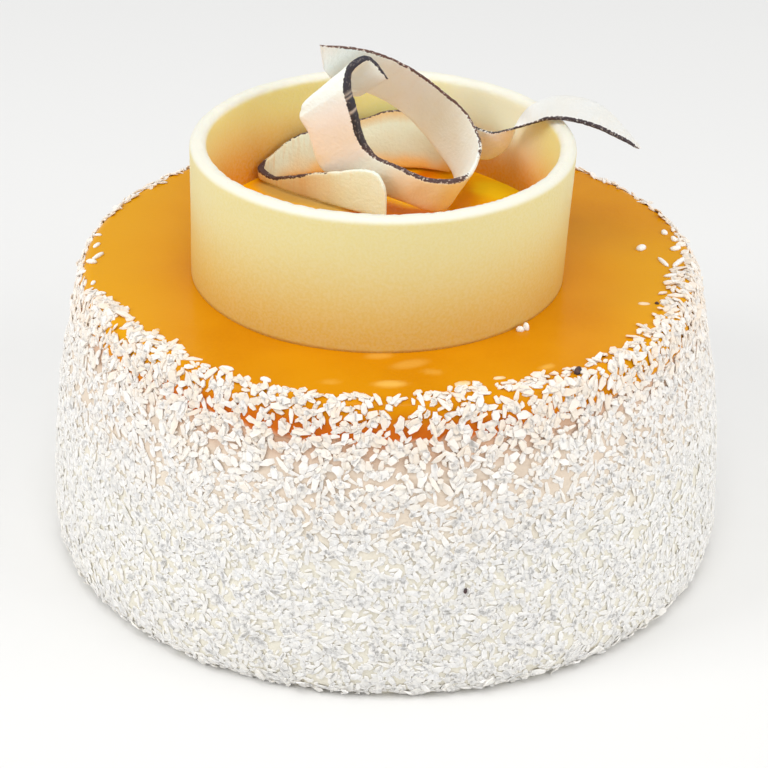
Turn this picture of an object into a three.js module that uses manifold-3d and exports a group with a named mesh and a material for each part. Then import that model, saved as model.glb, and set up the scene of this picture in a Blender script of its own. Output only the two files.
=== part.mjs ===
// A round mousse cake with a poured fruit glaze on top and coconut flakes all round its side.
// A leaning ring of white chocolate stands on the glaze. It holds a shallow fruit filling and
// three shaved coconut ribbons. Millimetres, +Z up, origin at the centre of the cake's base.
import * as THREE from 'three';
import { mergeVertices } from 'three/addons/utils/BufferGeometryUtils.js';
import Module from 'manifold-3d';

const wasm = await Module();
wasm.setup();

// Driving dimensions of the cake
const BODY_HEIGHT = 62.5;
const GLAZE_TOP = 68;
const FOOT_RADIUS = 74.4;
const BELLY_RADIUS = 77.7;
const BELLY_HEIGHT = 15;
const FOOT_ROUND_HEIGHT = 3.8;
const FOOT_ROUND_INSET = 0.5;
const WAIST_RADIUS = 75.0;
const WAIST_HEIGHT = 43;
const SHOULDER_RADIUS = 70.6;
const GLAZE_FLAT_RADIUS = 67;
const GLAZE_INSET = 0.3;
const GLAZE_DRAPE = [0.8, 4.3];
const GLAZE_ROUNDING = 2.1;

// Driving dimensions of the ring and its filling
const RING_HEIGHT = 31.3;
const RING_WALL = 3.7;
const RING_FOOT_RADIUS = 41.75;
const RING_RIM_RADIUS = 42.4;
const RING_CENTRE_X = -2.2;
const RING_CENTRE_Y = -5.85;
const RING_LEAN = 0.96;
const RIM_BEVEL = 0.5;
const FILLING_TOP = 78;
const NEIGHBOUR_GAP = 0.3;

// Driving dimensions of the coconut
const RIBBON_THICKNESS = 1.3;
const RIBBON_FOOT = FILLING_TOP + 0.5;
const FOLD_WALL_RADIUS = 36.6;
const FLAKE_LENGTH = [3.2, 4.8];
const FLAKE_WIDTH = [1.3, 1.9];
const FLAKE_THICKNESS = [0.8, 1.1];
const FLAKE_TILT = [0.3, 0.95];
const FLAKE_TAPER = 0.55;
const SIDE_FLAKES = 250;
const SIDE_BAND = [0.07, 0.94];
const SHOULDER_FLAKES = 44;
const SHOULDER_BAND = [0.4, 0.97];
const FLAKE_SEED = 20117;

// Fineness of the faceted surfaces
const ROUND_SEGMENTS = 64;
const SIDE_ROWS = 9;
const SHOULDER_ROWS = 5;

const GOLDEN_ANGLE = Math.PI * (3 - Math.sqrt(5));

function seededRandom(seed) {
  let state = seed >>> 0;
  return () => {
    state = (state + 0x6d2b79f5) >>> 0;
    let mixed = Math.imul(state ^ (state >>> 15), state | 1);
    mixed ^= mixed + Math.imul(mixed ^ (mixed >>> 7), mixed | 61);
    return ((mixed ^ (mixed >>> 14)) >>> 0) / 2 ** 32;
  };
}

const random = seededRandom(FLAKE_SEED);

function between([low, high]) {
  return low + (high - low) * random();
}

// Signed volume of an indexed closed surface, positive when its faces point out
function signedVolume(geometry) {
  const position = geometry.attributes.position;
  const [a, b, c] = [new THREE.Vector3(), new THREE.Vector3(), new THREE.Vector3()];
  let volume = 0;
  for (let i = 0; i < geometry.index.count; i += 3) {
    a.fromBufferAttribute(position, geometry.index.getX(i));
    b.fromBufferAttribute(position, geometry.index.getX(i + 1));
    c.fromBufferAttribute(position, geometry.index.getX(i + 2));
    volume += a.dot(b.cross(c)) / 6;
  }
  return volume;
}

// Joins coincident points, drops collapsed triangles and turns every face outwards
function closedSurface(source) {
  const bare = source.clone();
  bare.deleteAttribute('normal');
  bare.deleteAttribute('uv');
  const geometry = mergeVertices(bare);
  const kept = [];
  for (let i = 0; i < geometry.index.count; i += 3) {
    const corners = [0, 1, 2].map((k) => geometry.index.getX(i + k));
    if (new Set(corners).size === 3) kept.push(...corners);
  }
  geometry.setIndex(kept);
  if (signedVolume(geometry) < 0) geometry.setIndex(kept.reverse());
  return geometry;
}

function toSolid(geometry) {
  const { position } = geometry.attributes;
  const vertProperties = new Float32Array(position.array);
  const triVerts = new Uint32Array(geometry.index.array);
  return new wasm.Manifold(new wasm.Mesh({ numProp: 3, vertProperties, triVerts }));
}

function toGeometry(solid) {
  const mesh = solid.getMesh();
  const geometry = new THREE.BufferGeometry();
  geometry.setAttribute('position', new THREE.BufferAttribute(mesh.vertProperties, 3));
  geometry.setIndex(new THREE.BufferAttribute(mesh.triVerts, 1));
  return geometry;
}

// Turns a profile of (radius, height) points about the vertical axis
function turned(profile) {
  const geometry = new THREE.LatheGeometry(profile, ROUND_SEGMENTS);
  geometry.rotateX(Math.PI / 2);
  return closedSurface(geometry);
}

// The side of the cake from its foot over the belly to the shoulder
const bodySide = new THREE.SplineCurve([
  new THREE.Vector2(FOOT_RADIUS, 0),
  new THREE.Vector2(BELLY_RADIUS - FOOT_ROUND_INSET, FOOT_ROUND_HEIGHT),
  new THREE.Vector2(BELLY_RADIUS, BELLY_HEIGHT),
  new THREE.Vector2(WAIST_RADIUS, WAIST_HEIGHT),
  new THREE.Vector2(SHOULDER_RADIUS, BODY_HEIGHT),
]);

// The rounded edge of the glaze, from the cake's shoulder to the flat of the top
const glazeSide = new THREE.CubicBezierCurve(
  new THREE.Vector2(SHOULDER_RADIUS - GLAZE_INSET, BODY_HEIGHT),
  new THREE.Vector2(SHOULDER_RADIUS - GLAZE_INSET - GLAZE_DRAPE[0], BODY_HEIGHT + GLAZE_DRAPE[1]),
  new THREE.Vector2(GLAZE_FLAT_RADIUS + GLAZE_ROUNDING, GLAZE_TOP),
  new THREE.Vector2(GLAZE_FLAT_RADIUS, GLAZE_TOP),
);

// A shred of coconut with one narrow end, lying along +X
function flakeShape() {
  const geometry = new THREE.BoxGeometry(
    between(FLAKE_LENGTH), between(FLAKE_WIDTH), between(FLAKE_THICKNESS),
  );
  const { position } = geometry.attributes;
  for (let i = 0; i < position.count; i += 1) {
    if (position.getX(i) > 0) {
      position.setY(i, position.getY(i) * FLAKE_TAPER);
      position.setZ(i, position.getZ(i) * FLAKE_TAPER);
    }
  }
  return geometry;
}

// Seats a flake on a turned surface: half sunk, pointing any way and tilted outwards
function seatedFlake(side, share, angle) {
  const [radius, height] = side.getPointAt(share).toArray();
  const [outRate, upRate] = side.getTangentAt(share).toArray();
  const outward = new THREE.Vector3(Math.cos(angle), Math.sin(angle), 0);
  const around = new THREE.Vector3(-Math.sin(angle), Math.cos(angle), 0);
  const along = outward.clone().multiplyScalar(outRate).setZ(upRate);
  const normal = new THREE.Vector3().crossVectors(around, along).normalize();
  const turn = random() * 2 * Math.PI;
  const tilt = between(FLAKE_TILT);
  const flat = around.clone().multiplyScalar(Math.cos(turn)).addScaledVector(along, Math.sin(turn));
  const length = flat.multiplyScalar(Math.cos(tilt)).addScaledVector(normal, Math.sin(tilt)).normalize();
  const width = new THREE.Vector3().crossVectors(normal, length).normalize();
  const thickness = new THREE.Vector3().crossVectors(length, width);
  const place = new THREE.Matrix4().makeBasis(length, width, thickness);
  place.setPosition(outward.multiplyScalar(radius).setZ(height));
  return closedSurface(flakeShape().applyMatrix4(place));
}

// Spreads flakes evenly over a band of a turned surface and fuses them to it
function withFlakes(geometry, side, count, [firstShare, lastShare]) {
  let solid = toSolid(geometry);
  for (let i = 0; i < count; i += 1) {
    const share = firstShare + (lastShare - firstShare) * ((i + 0.5) / count);
    solid = solid.add(toSolid(seatedFlake(side, share, i * GOLDEN_ANGLE)));
  }
  return toGeometry(solid);
}

function mousseBody() {
  const side = bodySide.getPoints(SIDE_ROWS);
  const profile = [new THREE.Vector2(0, 0), ...side, new THREE.Vector2(0, BODY_HEIGHT)];
  return withFlakes(turned(profile), bodySide, SIDE_FLAKES, SIDE_BAND);
}

function fruitGlaze() {
  const side = glazeSide.getPoints(SHOULDER_ROWS);
  const profile = [new THREE.Vector2(0, BODY_HEIGHT), ...side, new THREE.Vector2(0, GLAZE_TOP)];
  return withFlakes(turned(profile), glazeSide, SHOULDER_FLAKES, SHOULDER_BAND);
}

// Moves a turned piece onto the ring's axis, which leans towards +X as it rises
function ontoRingAxis(geometry) {
  const { position } = geometry.attributes;
  for (let i = 0; i < position.count; i += 1) {
    const rise = (position.getZ(i) - GLAZE_TOP) / RING_HEIGHT;
    position.setX(i, position.getX(i) + RING_CENTRE_X + RING_LEAN * rise);
    position.setY(i, position.getY(i) + RING_CENTRE_Y);
  }
  return geometry;
}

// Outer radius of the ring, which flares a little from foot to rim
function ringRadius(height) {
  return THREE.MathUtils.mapLinear(
    height, GLAZE_TOP, GLAZE_TOP + RING_HEIGHT, RING_FOOT_RADIUS, RING_RIM_RADIUS,
  );
}

function chocolateRing() {
  const rim = GLAZE_TOP + RING_HEIGHT;
  const outer = (height, inset = 0) => new THREE.Vector2(ringRadius(height) - inset, height);
  const inner = (height, inset = 0) => outer(height, RING_WALL - inset);
  const profile = [
    outer(GLAZE_TOP), outer(rim - RIM_BEVEL), outer(rim, RIM_BEVEL),
    inner(rim, RIM_BEVEL), inner(rim - RIM_BEVEL), inner(GLAZE_TOP), outer(GLAZE_TOP),
  ];
  return ontoRingAxis(turned(profile));
}

function fruitFilling() {
  const middle = (height) => new THREE.Vector2(0, height);
  const edge = (height) => new THREE.Vector2(ringRadius(height) - RING_WALL - NEIGHBOUR_GAP, height);
  const profile = [middle(GLAZE_TOP), edge(GLAZE_TOP), edge(FILLING_TOP), middle(FILLING_TOP)];
  return ontoRingAxis(turned(profile));
}

// A thin ribbon between its skin edge and its pale edge, both smooth curves through paired points
function ribbon(skinPoints, palePoints, { steps, strips }) {
  const smooth = (points) => {
    return new THREE.CatmullRomCurve3(points.map((point) => new THREE.Vector3(...point)));
  };
  const skin = smooth(skinPoints);
  const pale = smooth(palePoints);
  const middle = (t, across) => skin.getPoint(t).lerp(pale.getPoint(t), across);
  const nudge = 0.002;
  const faceNormal = (t, across) => {
    const lengthwise = middle(Math.min(t + nudge, 1), across).sub(middle(Math.max(t - nudge, 0), across));
    const crosswise = middle(t, Math.min(across + nudge, 1)).sub(middle(t, Math.max(across - nudge, 0)));
    return lengthwise.cross(crosswise).normalize();
  };
  const corners = [];
  for (const face of [-0.5, 0.5]) {
    for (let i = 0; i <= steps; i += 1) {
      for (let j = 0; j <= strips; j += 1) {
        const [t, across] = [i / steps, j / strips];
        const offset = face * RIBBON_THICKNESS;
        corners.push(...middle(t, across).addScaledVector(faceNormal(t, across), offset));
      }
    }
  }
  const row = strips + 1;
  const faceSize = row * (steps + 1);
  const triangles = [];
  const quad = (a, b, c, d) => triangles.push(a, b, c, a, c, d);
  for (let i = 0; i < steps; i += 1) {
    for (let j = 0; j < strips; j += 1) {
      const k = i * row + j;
      quad(k, k + 1, k + row + 1, k + row);
      quad(faceSize + k, faceSize + k + row, faceSize + k + row + 1, faceSize + k + 1);
    }
    for (const [k, step] of [[i * row + strips, row], [(i + 1) * row, -row]]) {
      quad(k, k + faceSize, k + faceSize + step, k + step);
    }
  }
  for (let j = 0; j < strips; j += 1) {
    const last = steps * row + j + 1;
    quad(j, j + faceSize, j + faceSize + 1, j + 1);
    quad(last, last + faceSize, last + faceSize - 1, last - 1);
  }
  const geometry = new THREE.BufferGeometry();
  geometry.setAttribute('position', new THREE.Float32BufferAttribute(corners, 3));
  geometry.setIndex(triangles);
  return closedSurface(geometry);
}

// The tall loop: a hooked end at the left, down, round under, up at the right and back over the top
function coconutLoop() {
  const skin = [
    [-0.5, 8.5, 107.4], [-4.8, 9.5, 111.9], [-8.5, 6, 111], [-9.1, 4.5, 107.4], [-7.8, 4, 102.1],
    [-5.6, 4.5, 93.8], [-3.4, 3.5, 91.1], [1.6, 0, 90.1], [8.7, -4, 88.8], [14.5, -4.5, 88.8],
    [17.6, -2, 89], [20, 5.5, 89.9], [20.6, 11.5, 91.4], [17.4, 17, 96.1], [10.6, 18, 101.9],
    [4.1, 16.5, 107.1], [-4.9, 13, 112.2], [-15.7, 7, 115.7],
  ];
  const pale = [
    [-6.8, 13.3, 101.2], [-15.3, 11.4, 101.4], [-19.4, 7.4, 100.7], [-20.1, 7.6, 98.6], [-18.3, 7.4, 95.3],
    [-15.4, 8.6, 86], [-11.5, 8.1, 82.8], [-4.6, 3.9, 82.5], [3.6, -0.3, 81.6], [9.4, -0.9, 79.8],
    [12.4, 0.7, 79.2], [14.1, 8.8, 79.5], [15.1, 15.1, 80.9], [10.4, 21, 85.9], [4.2, 23.7, 92.1],
    [-2.3, 22.1, 97.3], [-12.1, 16.6, 103.2], [-14.8, 9.8, 108.7],
  ];
  return ribbon(skin, pale, { steps: 68, strips: 2 });
}

// The folded ribbon: a front leg with a rounded end, a tight bend at the left, and a back leg that
// leans on the ring's wall
function coconutFold() {
  const front = [
    [-0.4, -3.4, 82.5], [-1, -3, 86.6], [-2.8, -1.9, 89], [-5.6, -0.2, 89.1], [-10.9, 3.1, 87.1],
    [-17.3, 7.4, 84.6], [-22.5, 11, 82.3], [-26.8, 15, 80.4],
  ];
  const wall = [
    { degrees: 139.5, top: 81.4, lean: 0 }, { degrees: 133, top: 83.6, lean: 2.5 },
    { degrees: 124, top: 86.1, lean: 4.5 }, { degrees: 112, top: 87.2, lean: 6 },
    { degrees: 98, top: 88.4, lean: 6 }, { degrees: 88, top: 90.6, lean: 5 },
    { degrees: 76, top: 91.3, lean: 4 }, { degrees: 64, top: 91.5, lean: 3.5 },
  ];
  const skin = [...front];
  const pale = front.map(([x, y]) => [x, y, RIBBON_FOOT]);
  for (const { degrees, top, lean } of wall) {
    const angle = THREE.MathUtils.degToRad(degrees);
    const x = RING_CENTRE_X + 0.5 * RING_LEAN + FOLD_WALL_RADIUS * Math.cos(angle);
    const y = RING_CENTRE_Y + FOLD_WALL_RADIUS * Math.sin(angle);
    skin.push([x, y, top]);
    pale.push([x, y - lean, RIBBON_FOOT]);
  }
  return ribbon(skin, pale, { steps: 54, strips: 2 });
}

// The arch: it stands on edge inside the ring, turns flat over the rim and ends in a point outside
function coconutArch() {
  const skin = [
    [18.9, 19, 92.1], [23, 15, 92.3], [25.9, 11.6, 94.2], [28.9, 7.9, 96.6], [32, 5.5, 98.6],
    [35.2, 3.7, 100.5], [38.9, 3, 100.8], [44.4, -0.5, 101], [50.9, -5.5, 99.9], [54.4, -8.5, 98.9],
  ];
  const pale = [
    [19.8, 22, 82.4], [24, 19, 84.2], [27.4, 16.4, 88.4], [29.2, 14, 95.6], [31.4, 11.2, 100.2],
    [36.6, 14.2, 101.5], [41.7, 13.7, 101.8], [47.2, 10, 101.4], [52.5, -1.5, 99.9], [55, -7.6, 98.8],
  ];
  return ribbon(skin, pale, { steps: 36, strips: 4 });
}

function named(name, geometry, color, roughness) {
  geometry.computeVertexNormals();
  const mesh = new THREE.Mesh(geometry, new THREE.MeshStandardMaterial({ color, roughness, metalness: 0 }));
  mesh.name = name;
  return mesh;
}

const cake = new THREE.Group();
cake.add(
  named('mousse_body', mousseBody(), 0xf4efe6, 0.85),
  named('fruit_glaze', fruitGlaze(), 0xe89a1c, 0.15),
  named('white_chocolate_ring', chocolateRing(), 0xeedfa6, 0.4),
  named('fruit_filling', fruitFilling(), 0xd9861a, 0.2),
  named('coconut_loop', coconutLoop(), 0xf3ece0, 0.6),
  named('coconut_fold', coconutFold(), 0xf0e6d2, 0.6),
  named('coconut_arch', coconutArch(), 0xf3ece0, 0.6),
);

export default cake;
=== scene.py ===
"""Dresses a round mousse cake: a coconut coat, a poured fruit glaze, and a white chocolate ring
that holds a fruit filling and three shaved coconut ribbons. Metres, +Z up."""

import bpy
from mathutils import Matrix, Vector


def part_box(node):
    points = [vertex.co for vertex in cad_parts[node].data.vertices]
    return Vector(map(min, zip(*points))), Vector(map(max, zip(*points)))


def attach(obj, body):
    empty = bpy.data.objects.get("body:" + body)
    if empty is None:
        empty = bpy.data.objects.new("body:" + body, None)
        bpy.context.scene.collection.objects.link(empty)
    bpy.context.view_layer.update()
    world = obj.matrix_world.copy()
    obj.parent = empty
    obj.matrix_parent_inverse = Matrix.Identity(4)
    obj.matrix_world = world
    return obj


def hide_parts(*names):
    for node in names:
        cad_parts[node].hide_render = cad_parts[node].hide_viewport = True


bl_info = {
    "name": "Coconut mousse cake",
    "version": (1, 0, 0),
    "blender": (4, 5, 0),
    "location": "3D View > Sidebar > Cake",
    "description": "Builds the finished surfaces of a coconut and fruit mousse cake around its solids",
    "category": "Add Mesh",
}

import math
from typing import NamedTuple

import bmesh
import bpy
import numpy as np
from bpy.props import FloatProperty, FloatVectorProperty, PointerProperty
from bpy.types import NodeSocket, Operator, Panel, PropertyGroup
from mathutils import Matrix, Quaternion, Vector, noise

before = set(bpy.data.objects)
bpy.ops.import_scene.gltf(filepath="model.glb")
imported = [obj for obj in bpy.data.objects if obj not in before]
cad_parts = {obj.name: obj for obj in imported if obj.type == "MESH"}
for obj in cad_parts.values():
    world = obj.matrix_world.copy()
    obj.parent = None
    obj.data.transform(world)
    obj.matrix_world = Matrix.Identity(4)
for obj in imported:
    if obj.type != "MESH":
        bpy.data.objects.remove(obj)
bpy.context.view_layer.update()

MM = 0.001
BODY = "root"
RING_LOW, RING_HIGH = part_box("white_chocolate_ring")
FILLING_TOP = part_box("fruit_filling")[1].z


def mm(*values):
    """Millimetres as metres."""
    return tuple(value * MM for value in values)


def srgb(red, green, blue):
    """The linear colour of a screen colour given as 0 to 255."""
    shares = [value / 255 for value in (red, green, blue)]
    return tuple(s / 12.92 if s <= 0.04045 else ((s + 0.055) / 1.055) ** 2.4 for s in shares)


def length(name, description, default):
    """A size of the cake, as a property."""
    return FloatProperty(
        name=name, description=description, default=default, min=0.0, unit="LENGTH", precision=4
    )


def colour(name, description, *screen):
    """A colour of the cake, as a property whose default is a screen colour."""
    return FloatVectorProperty(
        name=name, description=description, default=srgb(*screen), size=3, min=0.0, max=1.0, subtype="COLOR"
    )


class CakeSizes(PropertyGroup):
    """Sizes of the cake, its ring and its filling."""

    body_height: length("Body height", "Height of the mousse under the glaze", 62.5 * MM)
    foot_radius: length("Foot radius", "Radius of the mousse where it stands", 74.4 * MM)
    belly_radius: length("Belly radius", "Widest radius of the mousse", 77.7 * MM)
    belly_height: length("Belly height", "Height of the widest radius", 15.0 * MM)
    waist_radius: length("Waist radius", "Radius where the side starts to draw in", 75.0 * MM)
    waist_height: length("Waist height", "Height where the side starts to draw in", 43.0 * MM)
    shoulder_radius: length("Shoulder radius", "Radius at the top of the mousse", 70.6 * MM)
    glaze_top: length("Glaze top", "Height of the glaze's flat top", RING_LOW.z)
    glaze_flat_radius: length("Glaze flat radius", "Radius where the glaze starts to round off", 67.0 * MM)
    glaze_run: length("Glaze run", "How far the glaze runs down over the shoulder", 3.5 * MM)
    ring_wall: length("Ring wall", "Thickness of the chocolate ring", 3.7 * MM)
    ring_foot_radius: length("Ring foot radius", "Outer radius of the ring on the glaze", 41.75 * MM)
    ring_rim_radius: length("Ring rim radius", "Outer radius of the ring at its rim", 42.4 * MM)
    ring_rim: length("Ring rim", "Height of the ring's rim", RING_HIGH.z)
    filling_top: length("Filling top", "Level of the filling inside the ring", FILLING_TOP)


class CakeColours(PropertyGroup):
    """Colours of the cake's surfaces."""

    flake: colour("Flake", "Dried coconut flakes", 248, 245, 241)
    flake_shade: colour("Flake shade", "The more see-through flakes", 242, 238, 230)
    mousse: colour("Mousse", "Mousse between the flakes", 234, 229, 214)
    soaked_mousse: colour("Soaked mousse", "Mousse that the glaze has run into", 208, 167, 137)
    soaked_flake: colour("Soaked flake", "Flakes that the glaze has run into", 240, 225, 209)
    glaze: colour("Glaze", "Fruit glaze on the top", 214, 142, 6)
    glaze_deep: colour("Deep glaze", "Glaze where it lies thick", 206, 131, 3)
    # Painted light: the glaze is painted lighter and yellower towards both sides, but not at the back right,
    # where the ring's painted shadow stays darker.
    glaze_lit_sides: colour("Side-lit glaze", "Glaze painted lighter at the sides, as side light", 222, 158, 10)
    # Painted shade: the glaze run is real, but its deep red-orange lower down stands in for shade among the
    # flakes.
    glaze_run: colour("Glaze run", "Glaze run in among the flakes, darker lower down as painted shade", 196, 98, 20)
    sunk_flake: colour("Sunk flake", "Flakes that lie under the glaze", 238, 190, 92)
    chocolate: colour("Chocolate", "White chocolate of the ring", 225, 211, 148)
    # Painted light: orange light from the glaze on the ring's lower outside.
    chocolate_glaze_lit: colour("Glaze-lit chocolate", "White chocolate painted with orange light from the glaze", 219, 180, 85)
    chocolate_rim: colour("Chocolate rim", "Frosted rim of the ring", 232, 230, 215)
    # Painted light: the inside of the ring is painted lighter and yellower than its outside.
    chocolate_inside_lit: colour("Lit inside chocolate", "Inside of the ring", 236, 229, 152)
    # Painted light: the back right of the ring's inside is painted paler, where the key light falls.
    chocolate_far_lit: colour("Lit far chocolate", "Inside of the ring at the back right", 240, 234, 202)
    # Painted light: orange light from the filling on the ring's inside wall.
    chocolate_glow: colour("Glowing chocolate", "White chocolate just above the filling", 226, 150, 10)
    filling: colour("Filling", "Fruit filling in the ring", 255, 180, 6)
    # Painted shade: the filling painted darker orange close to the ribbons.
    filling_ribbon_shade: colour("Shaded filling", "Filling painted darker by the ribbons, as shade", 218, 108, 4)
    # Painted light: yellow mottle, and a painted pool of light at the back right of the filling.
    filling_yellow_and_lit: colour("Yellow and lit filling", "Yellow mottle and a painted pool of light in the filling", 255, 216, 30)
    sunk_flesh: colour("Sunk flesh", "Ribbon flesh seen through the filling", 214, 172, 88)
    # Painted light: each ribbon's flesh has its own tone for the light it gets; the loop and fold are painted
    # cooler against orange bounce light, the arch darker as shade.
    loop_light_toned_flesh: colour("Loop flesh, toned for its light", "Flesh of the looped ribbon", 241, 251, 250)
    fold_light_toned_flesh: colour("Fold flesh, toned for its light", "Flesh of the folded ribbon", 231, 248, 236)
    arch_shaded_flesh: colour("Arch flesh, painted darker as shade", "Flesh of the arched ribbon", 222, 223, 220)
    # Painted light: coconut flesh painted lighter on parts of the loop's front and the arch's low end.
    lit_flesh: colour("Lit flesh", "Coconut flesh painted lighter as painted light", 250, 252, 255)
    soaked_flesh: colour("Soaked flesh", "Coconut flesh that stands in the filling", 216, 160, 46)
    flesh_streak: colour("Flesh streak", "Fibres in the coconut flesh", 226, 208, 172)
    skin: colour("Skin", "Dark coconut skin", 50, 54, 64)
    skin_brown: colour("Brown skin", "Scraped coconut skin", 104, 72, 62)
    skin_scratch: colour("Skin scratch", "Scratches and chips in the skin", 214, 200, 186)


def cake_sizes():
    return bpy.context.scene.cake_sizes


def cake_colours():
    return bpy.context.scene.cake_colours


# Curves and noise

def smooth_curve(points, count):
    """Even steps along a smooth curve that passes through all the points."""
    knots = np.array(points, float)
    knots = np.vstack([2 * knots[0] - knots[1], knots, 2 * knots[-1] - knots[-2]])
    place = np.linspace(0, len(knots) - 3, count)
    index = np.minimum(place.astype(int), len(knots) - 4)
    s = (place - index)[:, None]
    p0, p1, p2, p3 = (knots[index + k] for k in range(4))
    gaps = [np.sqrt(np.linalg.norm(b - a, axis=1))[:, None] for a, b in ((p0, p1), (p1, p2), (p2, p3))]
    d0, d1, d2 = gaps
    start = ((p1 - p0) / d0 - (p2 - p0) / (d0 + d1) + (p2 - p1) / d1) * d1
    end = ((p2 - p1) / d1 - (p3 - p1) / (d1 + d2) + (p3 - p2) / d2) * d1
    return (
        (2 * s**3 - 3 * s**2 + 1) * p1
        + (s**3 - 2 * s**2 + s) * start
        + (3 * s**2 - 2 * s**3) * p2
        + (s**3 - s**2) * end
    )


def smoothstep(low, high, value):
    """0 at the low limit and 1 at the high limit, with soft ends. The limits may be in falling order."""
    share = np.clip((value - low) / (high - low), 0.0, 1.0)
    return share * share * (3 - 2 * share)


def read_table(table, places):
    """Values between the rows of a table of places and values."""
    return np.interp(places, *zip(*table))


def grain(points, size, seed, depth=1.0):
    """Smooth ups and downs of the given depth at each point, with lumps of the given size."""
    shift = Vector((seed, 1.7 * seed, 2.3 * seed))
    flat = points.reshape(-1, 3) / size
    return depth * np.array([noise.noise(Vector(p) + shift) for p in flat]).reshape(points.shape[:-1])


# Profiles of the cake, as rows of radius and height

FOOT_ROUND = mm(0.5, 3.8)
GLAZE_SWELL = 0.15 * MM
GLAZE_CORNER = mm(1.1, 4.3)
GLAZE_SOFT_EDGE = 2.1 * MM


def side_profile(sizes, rows):
    """The side of the mousse from its foot to its shoulder."""
    points = [
        (sizes.foot_radius, 0.0),
        (sizes.belly_radius - FOOT_ROUND[0], FOOT_ROUND[1]),
        (sizes.belly_radius, sizes.belly_height),
        (sizes.waist_radius, sizes.waist_height),
        (sizes.shoulder_radius, sizes.body_height),
    ]
    return smooth_curve(points, rows)


def glaze_edge_profile(sizes, rows):
    """The rounded edge of the glaze from the shoulder to its flat top."""
    corners = np.array([
        (sizes.shoulder_radius + GLAZE_SWELL, sizes.body_height),
        (sizes.shoulder_radius - GLAZE_CORNER[0], sizes.body_height + GLAZE_CORNER[1]),
        (sizes.glaze_flat_radius + GLAZE_SOFT_EDGE, sizes.glaze_top),
        (sizes.glaze_flat_radius, sizes.glaze_top),
    ])
    t = np.linspace(0, 1, rows)[:, None]
    weights = ((1 - t) ** 3, 3 * t * (1 - t) ** 2, 3 * t**2 * (1 - t), t**3)
    return sum(w * c for w, c in zip(weights, corners))


def disc_profile(radius, height, rows, first, last):
    """A level disc, from one share of its radius to another."""
    return np.column_stack([np.linspace(first, last, rows) * radius, np.full(rows, height)])


# Meshes

def rings_of(profile, segments):
    """Points of a profile turned about the vertical axis, one ring for each row."""
    angles = np.linspace(0, 2 * math.pi, segments, endpoint=False)
    radius, height = profile[:, :1], profile[:, 1:]
    x, y = radius * np.cos(angles), radius * np.sin(angles)
    return np.stack([x, y, np.broadcast_to(height, x.shape)], axis=2)


def degrees_round(rings):
    """The angle of each point about the vertical axis, from +X."""
    return np.degrees(np.arctan2(rings[..., 1], rings[..., 0]))


def radius_of(rings):
    """How far each point lies from the vertical axis."""
    return np.linalg.norm(rings[..., :2], axis=2)


def outward_of(rings):
    """Level unit vectors that point away from the vertical axis."""
    flat = rings * (1.0, 1.0, 0.0)
    return flat / np.maximum(np.linalg.norm(flat, axis=2, keepdims=True), 1e-9)


def turned_object(name, rings, closed=False):
    """A solid through rings of points, shut by a point at each end or closed on itself."""
    rows, segments = rings.shape[:2]
    index = np.arange(rows * segments).reshape(rows, segments)
    following = np.roll(index, -1, axis=1)
    lower, upper = (np.arange(rows), np.roll(np.arange(rows), -1))
    if not closed:
        lower, upper = lower[:-1], upper[:-1]
    corners = [index[lower], following[lower], following[upper], index[upper]]
    faces = np.stack(corners, axis=2).reshape(-1, 4).tolist()
    vertices = rings.reshape(-1, 3)
    if not closed:
        vertices = np.vstack([vertices, rings[0].mean(0), rings[-1].mean(0)])
        first, last = rows * segments, rows * segments + 1
        faces += [(first, b, a) for a, b in zip(index[0].tolist(), following[0].tolist())]
        faces += [(last, a, b) for a, b in zip(index[-1].tolist(), following[-1].tolist())]
    return new_object(name, vertices, faces)


def lofted_faces(rows, corners, first=0):
    """Faces of a closed solid through rows of corners, with a flat face at each end."""
    faces = [tuple(range(first, first + corners))]
    for row in range(rows - 1):
        start = first + row * corners
        for k in range(corners):
            a, b = start + k, start + (k + 1) % corners
            faces.append((a, b, b + corners, a + corners))
    faces.append(tuple(range(first + (rows - 1) * corners, first + rows * corners)))
    return faces


def new_object(name, vertices, faces, smooth=True):
    """An object at the origin whose closed mesh has its faces pointing out."""
    mesh = bpy.data.meshes.new(name)
    mesh.from_pydata([tuple(v) for v in vertices], [], faces)
    editor = bmesh.new()
    editor.from_mesh(mesh)
    bmesh.ops.recalc_face_normals(editor, faces=editor.faces)
    editor.to_mesh(mesh)
    editor.free()
    mesh.polygons.foreach_set("use_smooth", [smooth] * len(mesh.polygons))
    return linked_object(name, mesh)


def linked_object(name, data):
    """An object at the origin, in the scene."""
    thing = bpy.data.objects.new(name, data)
    bpy.context.scene.collection.objects.link(thing)
    return thing


def point_values(piece, tables, ends=()):
    """Keeps numbers for the points of a piece's mesh, the points that shut its ends last."""
    for name, values in tables.items():
        attribute = piece.data.attributes.new(name, "FLOAT", "POINT")
        attribute.data.foreach_set("value", np.append(values.ravel(), ends).astype(np.float32))


def settle(piece, slot, *nodes, finish=None):
    """Makes a finished piece part of the cake, in the place of the solids that it stands for."""
    if finish is not None:
        piece.data.materials.append(finish)
    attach(piece, BODY)
    if nodes:
        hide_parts(*nodes)


# Node trees

def place_node(tree, kind, feeds=None, **settings):
    """Adds a node with its settings, and links or sets the inputs that are given."""
    node = tree.nodes.new(kind)
    for key, value in settings.items():
        setattr(node, key, value)
    for key, value in (feeds or {}).items():
        if isinstance(value, NodeSocket):
            tree.links.new(value, node.inputs[key])
        else:
            node.inputs[key].default_value = value
    return node


def calculate(tree, operation, *values):
    """The result of a sum with one or more values, as an output socket."""
    return place_node(tree, "ShaderNodeMath", dict(enumerate(values)), operation=operation).outputs[0]


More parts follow.
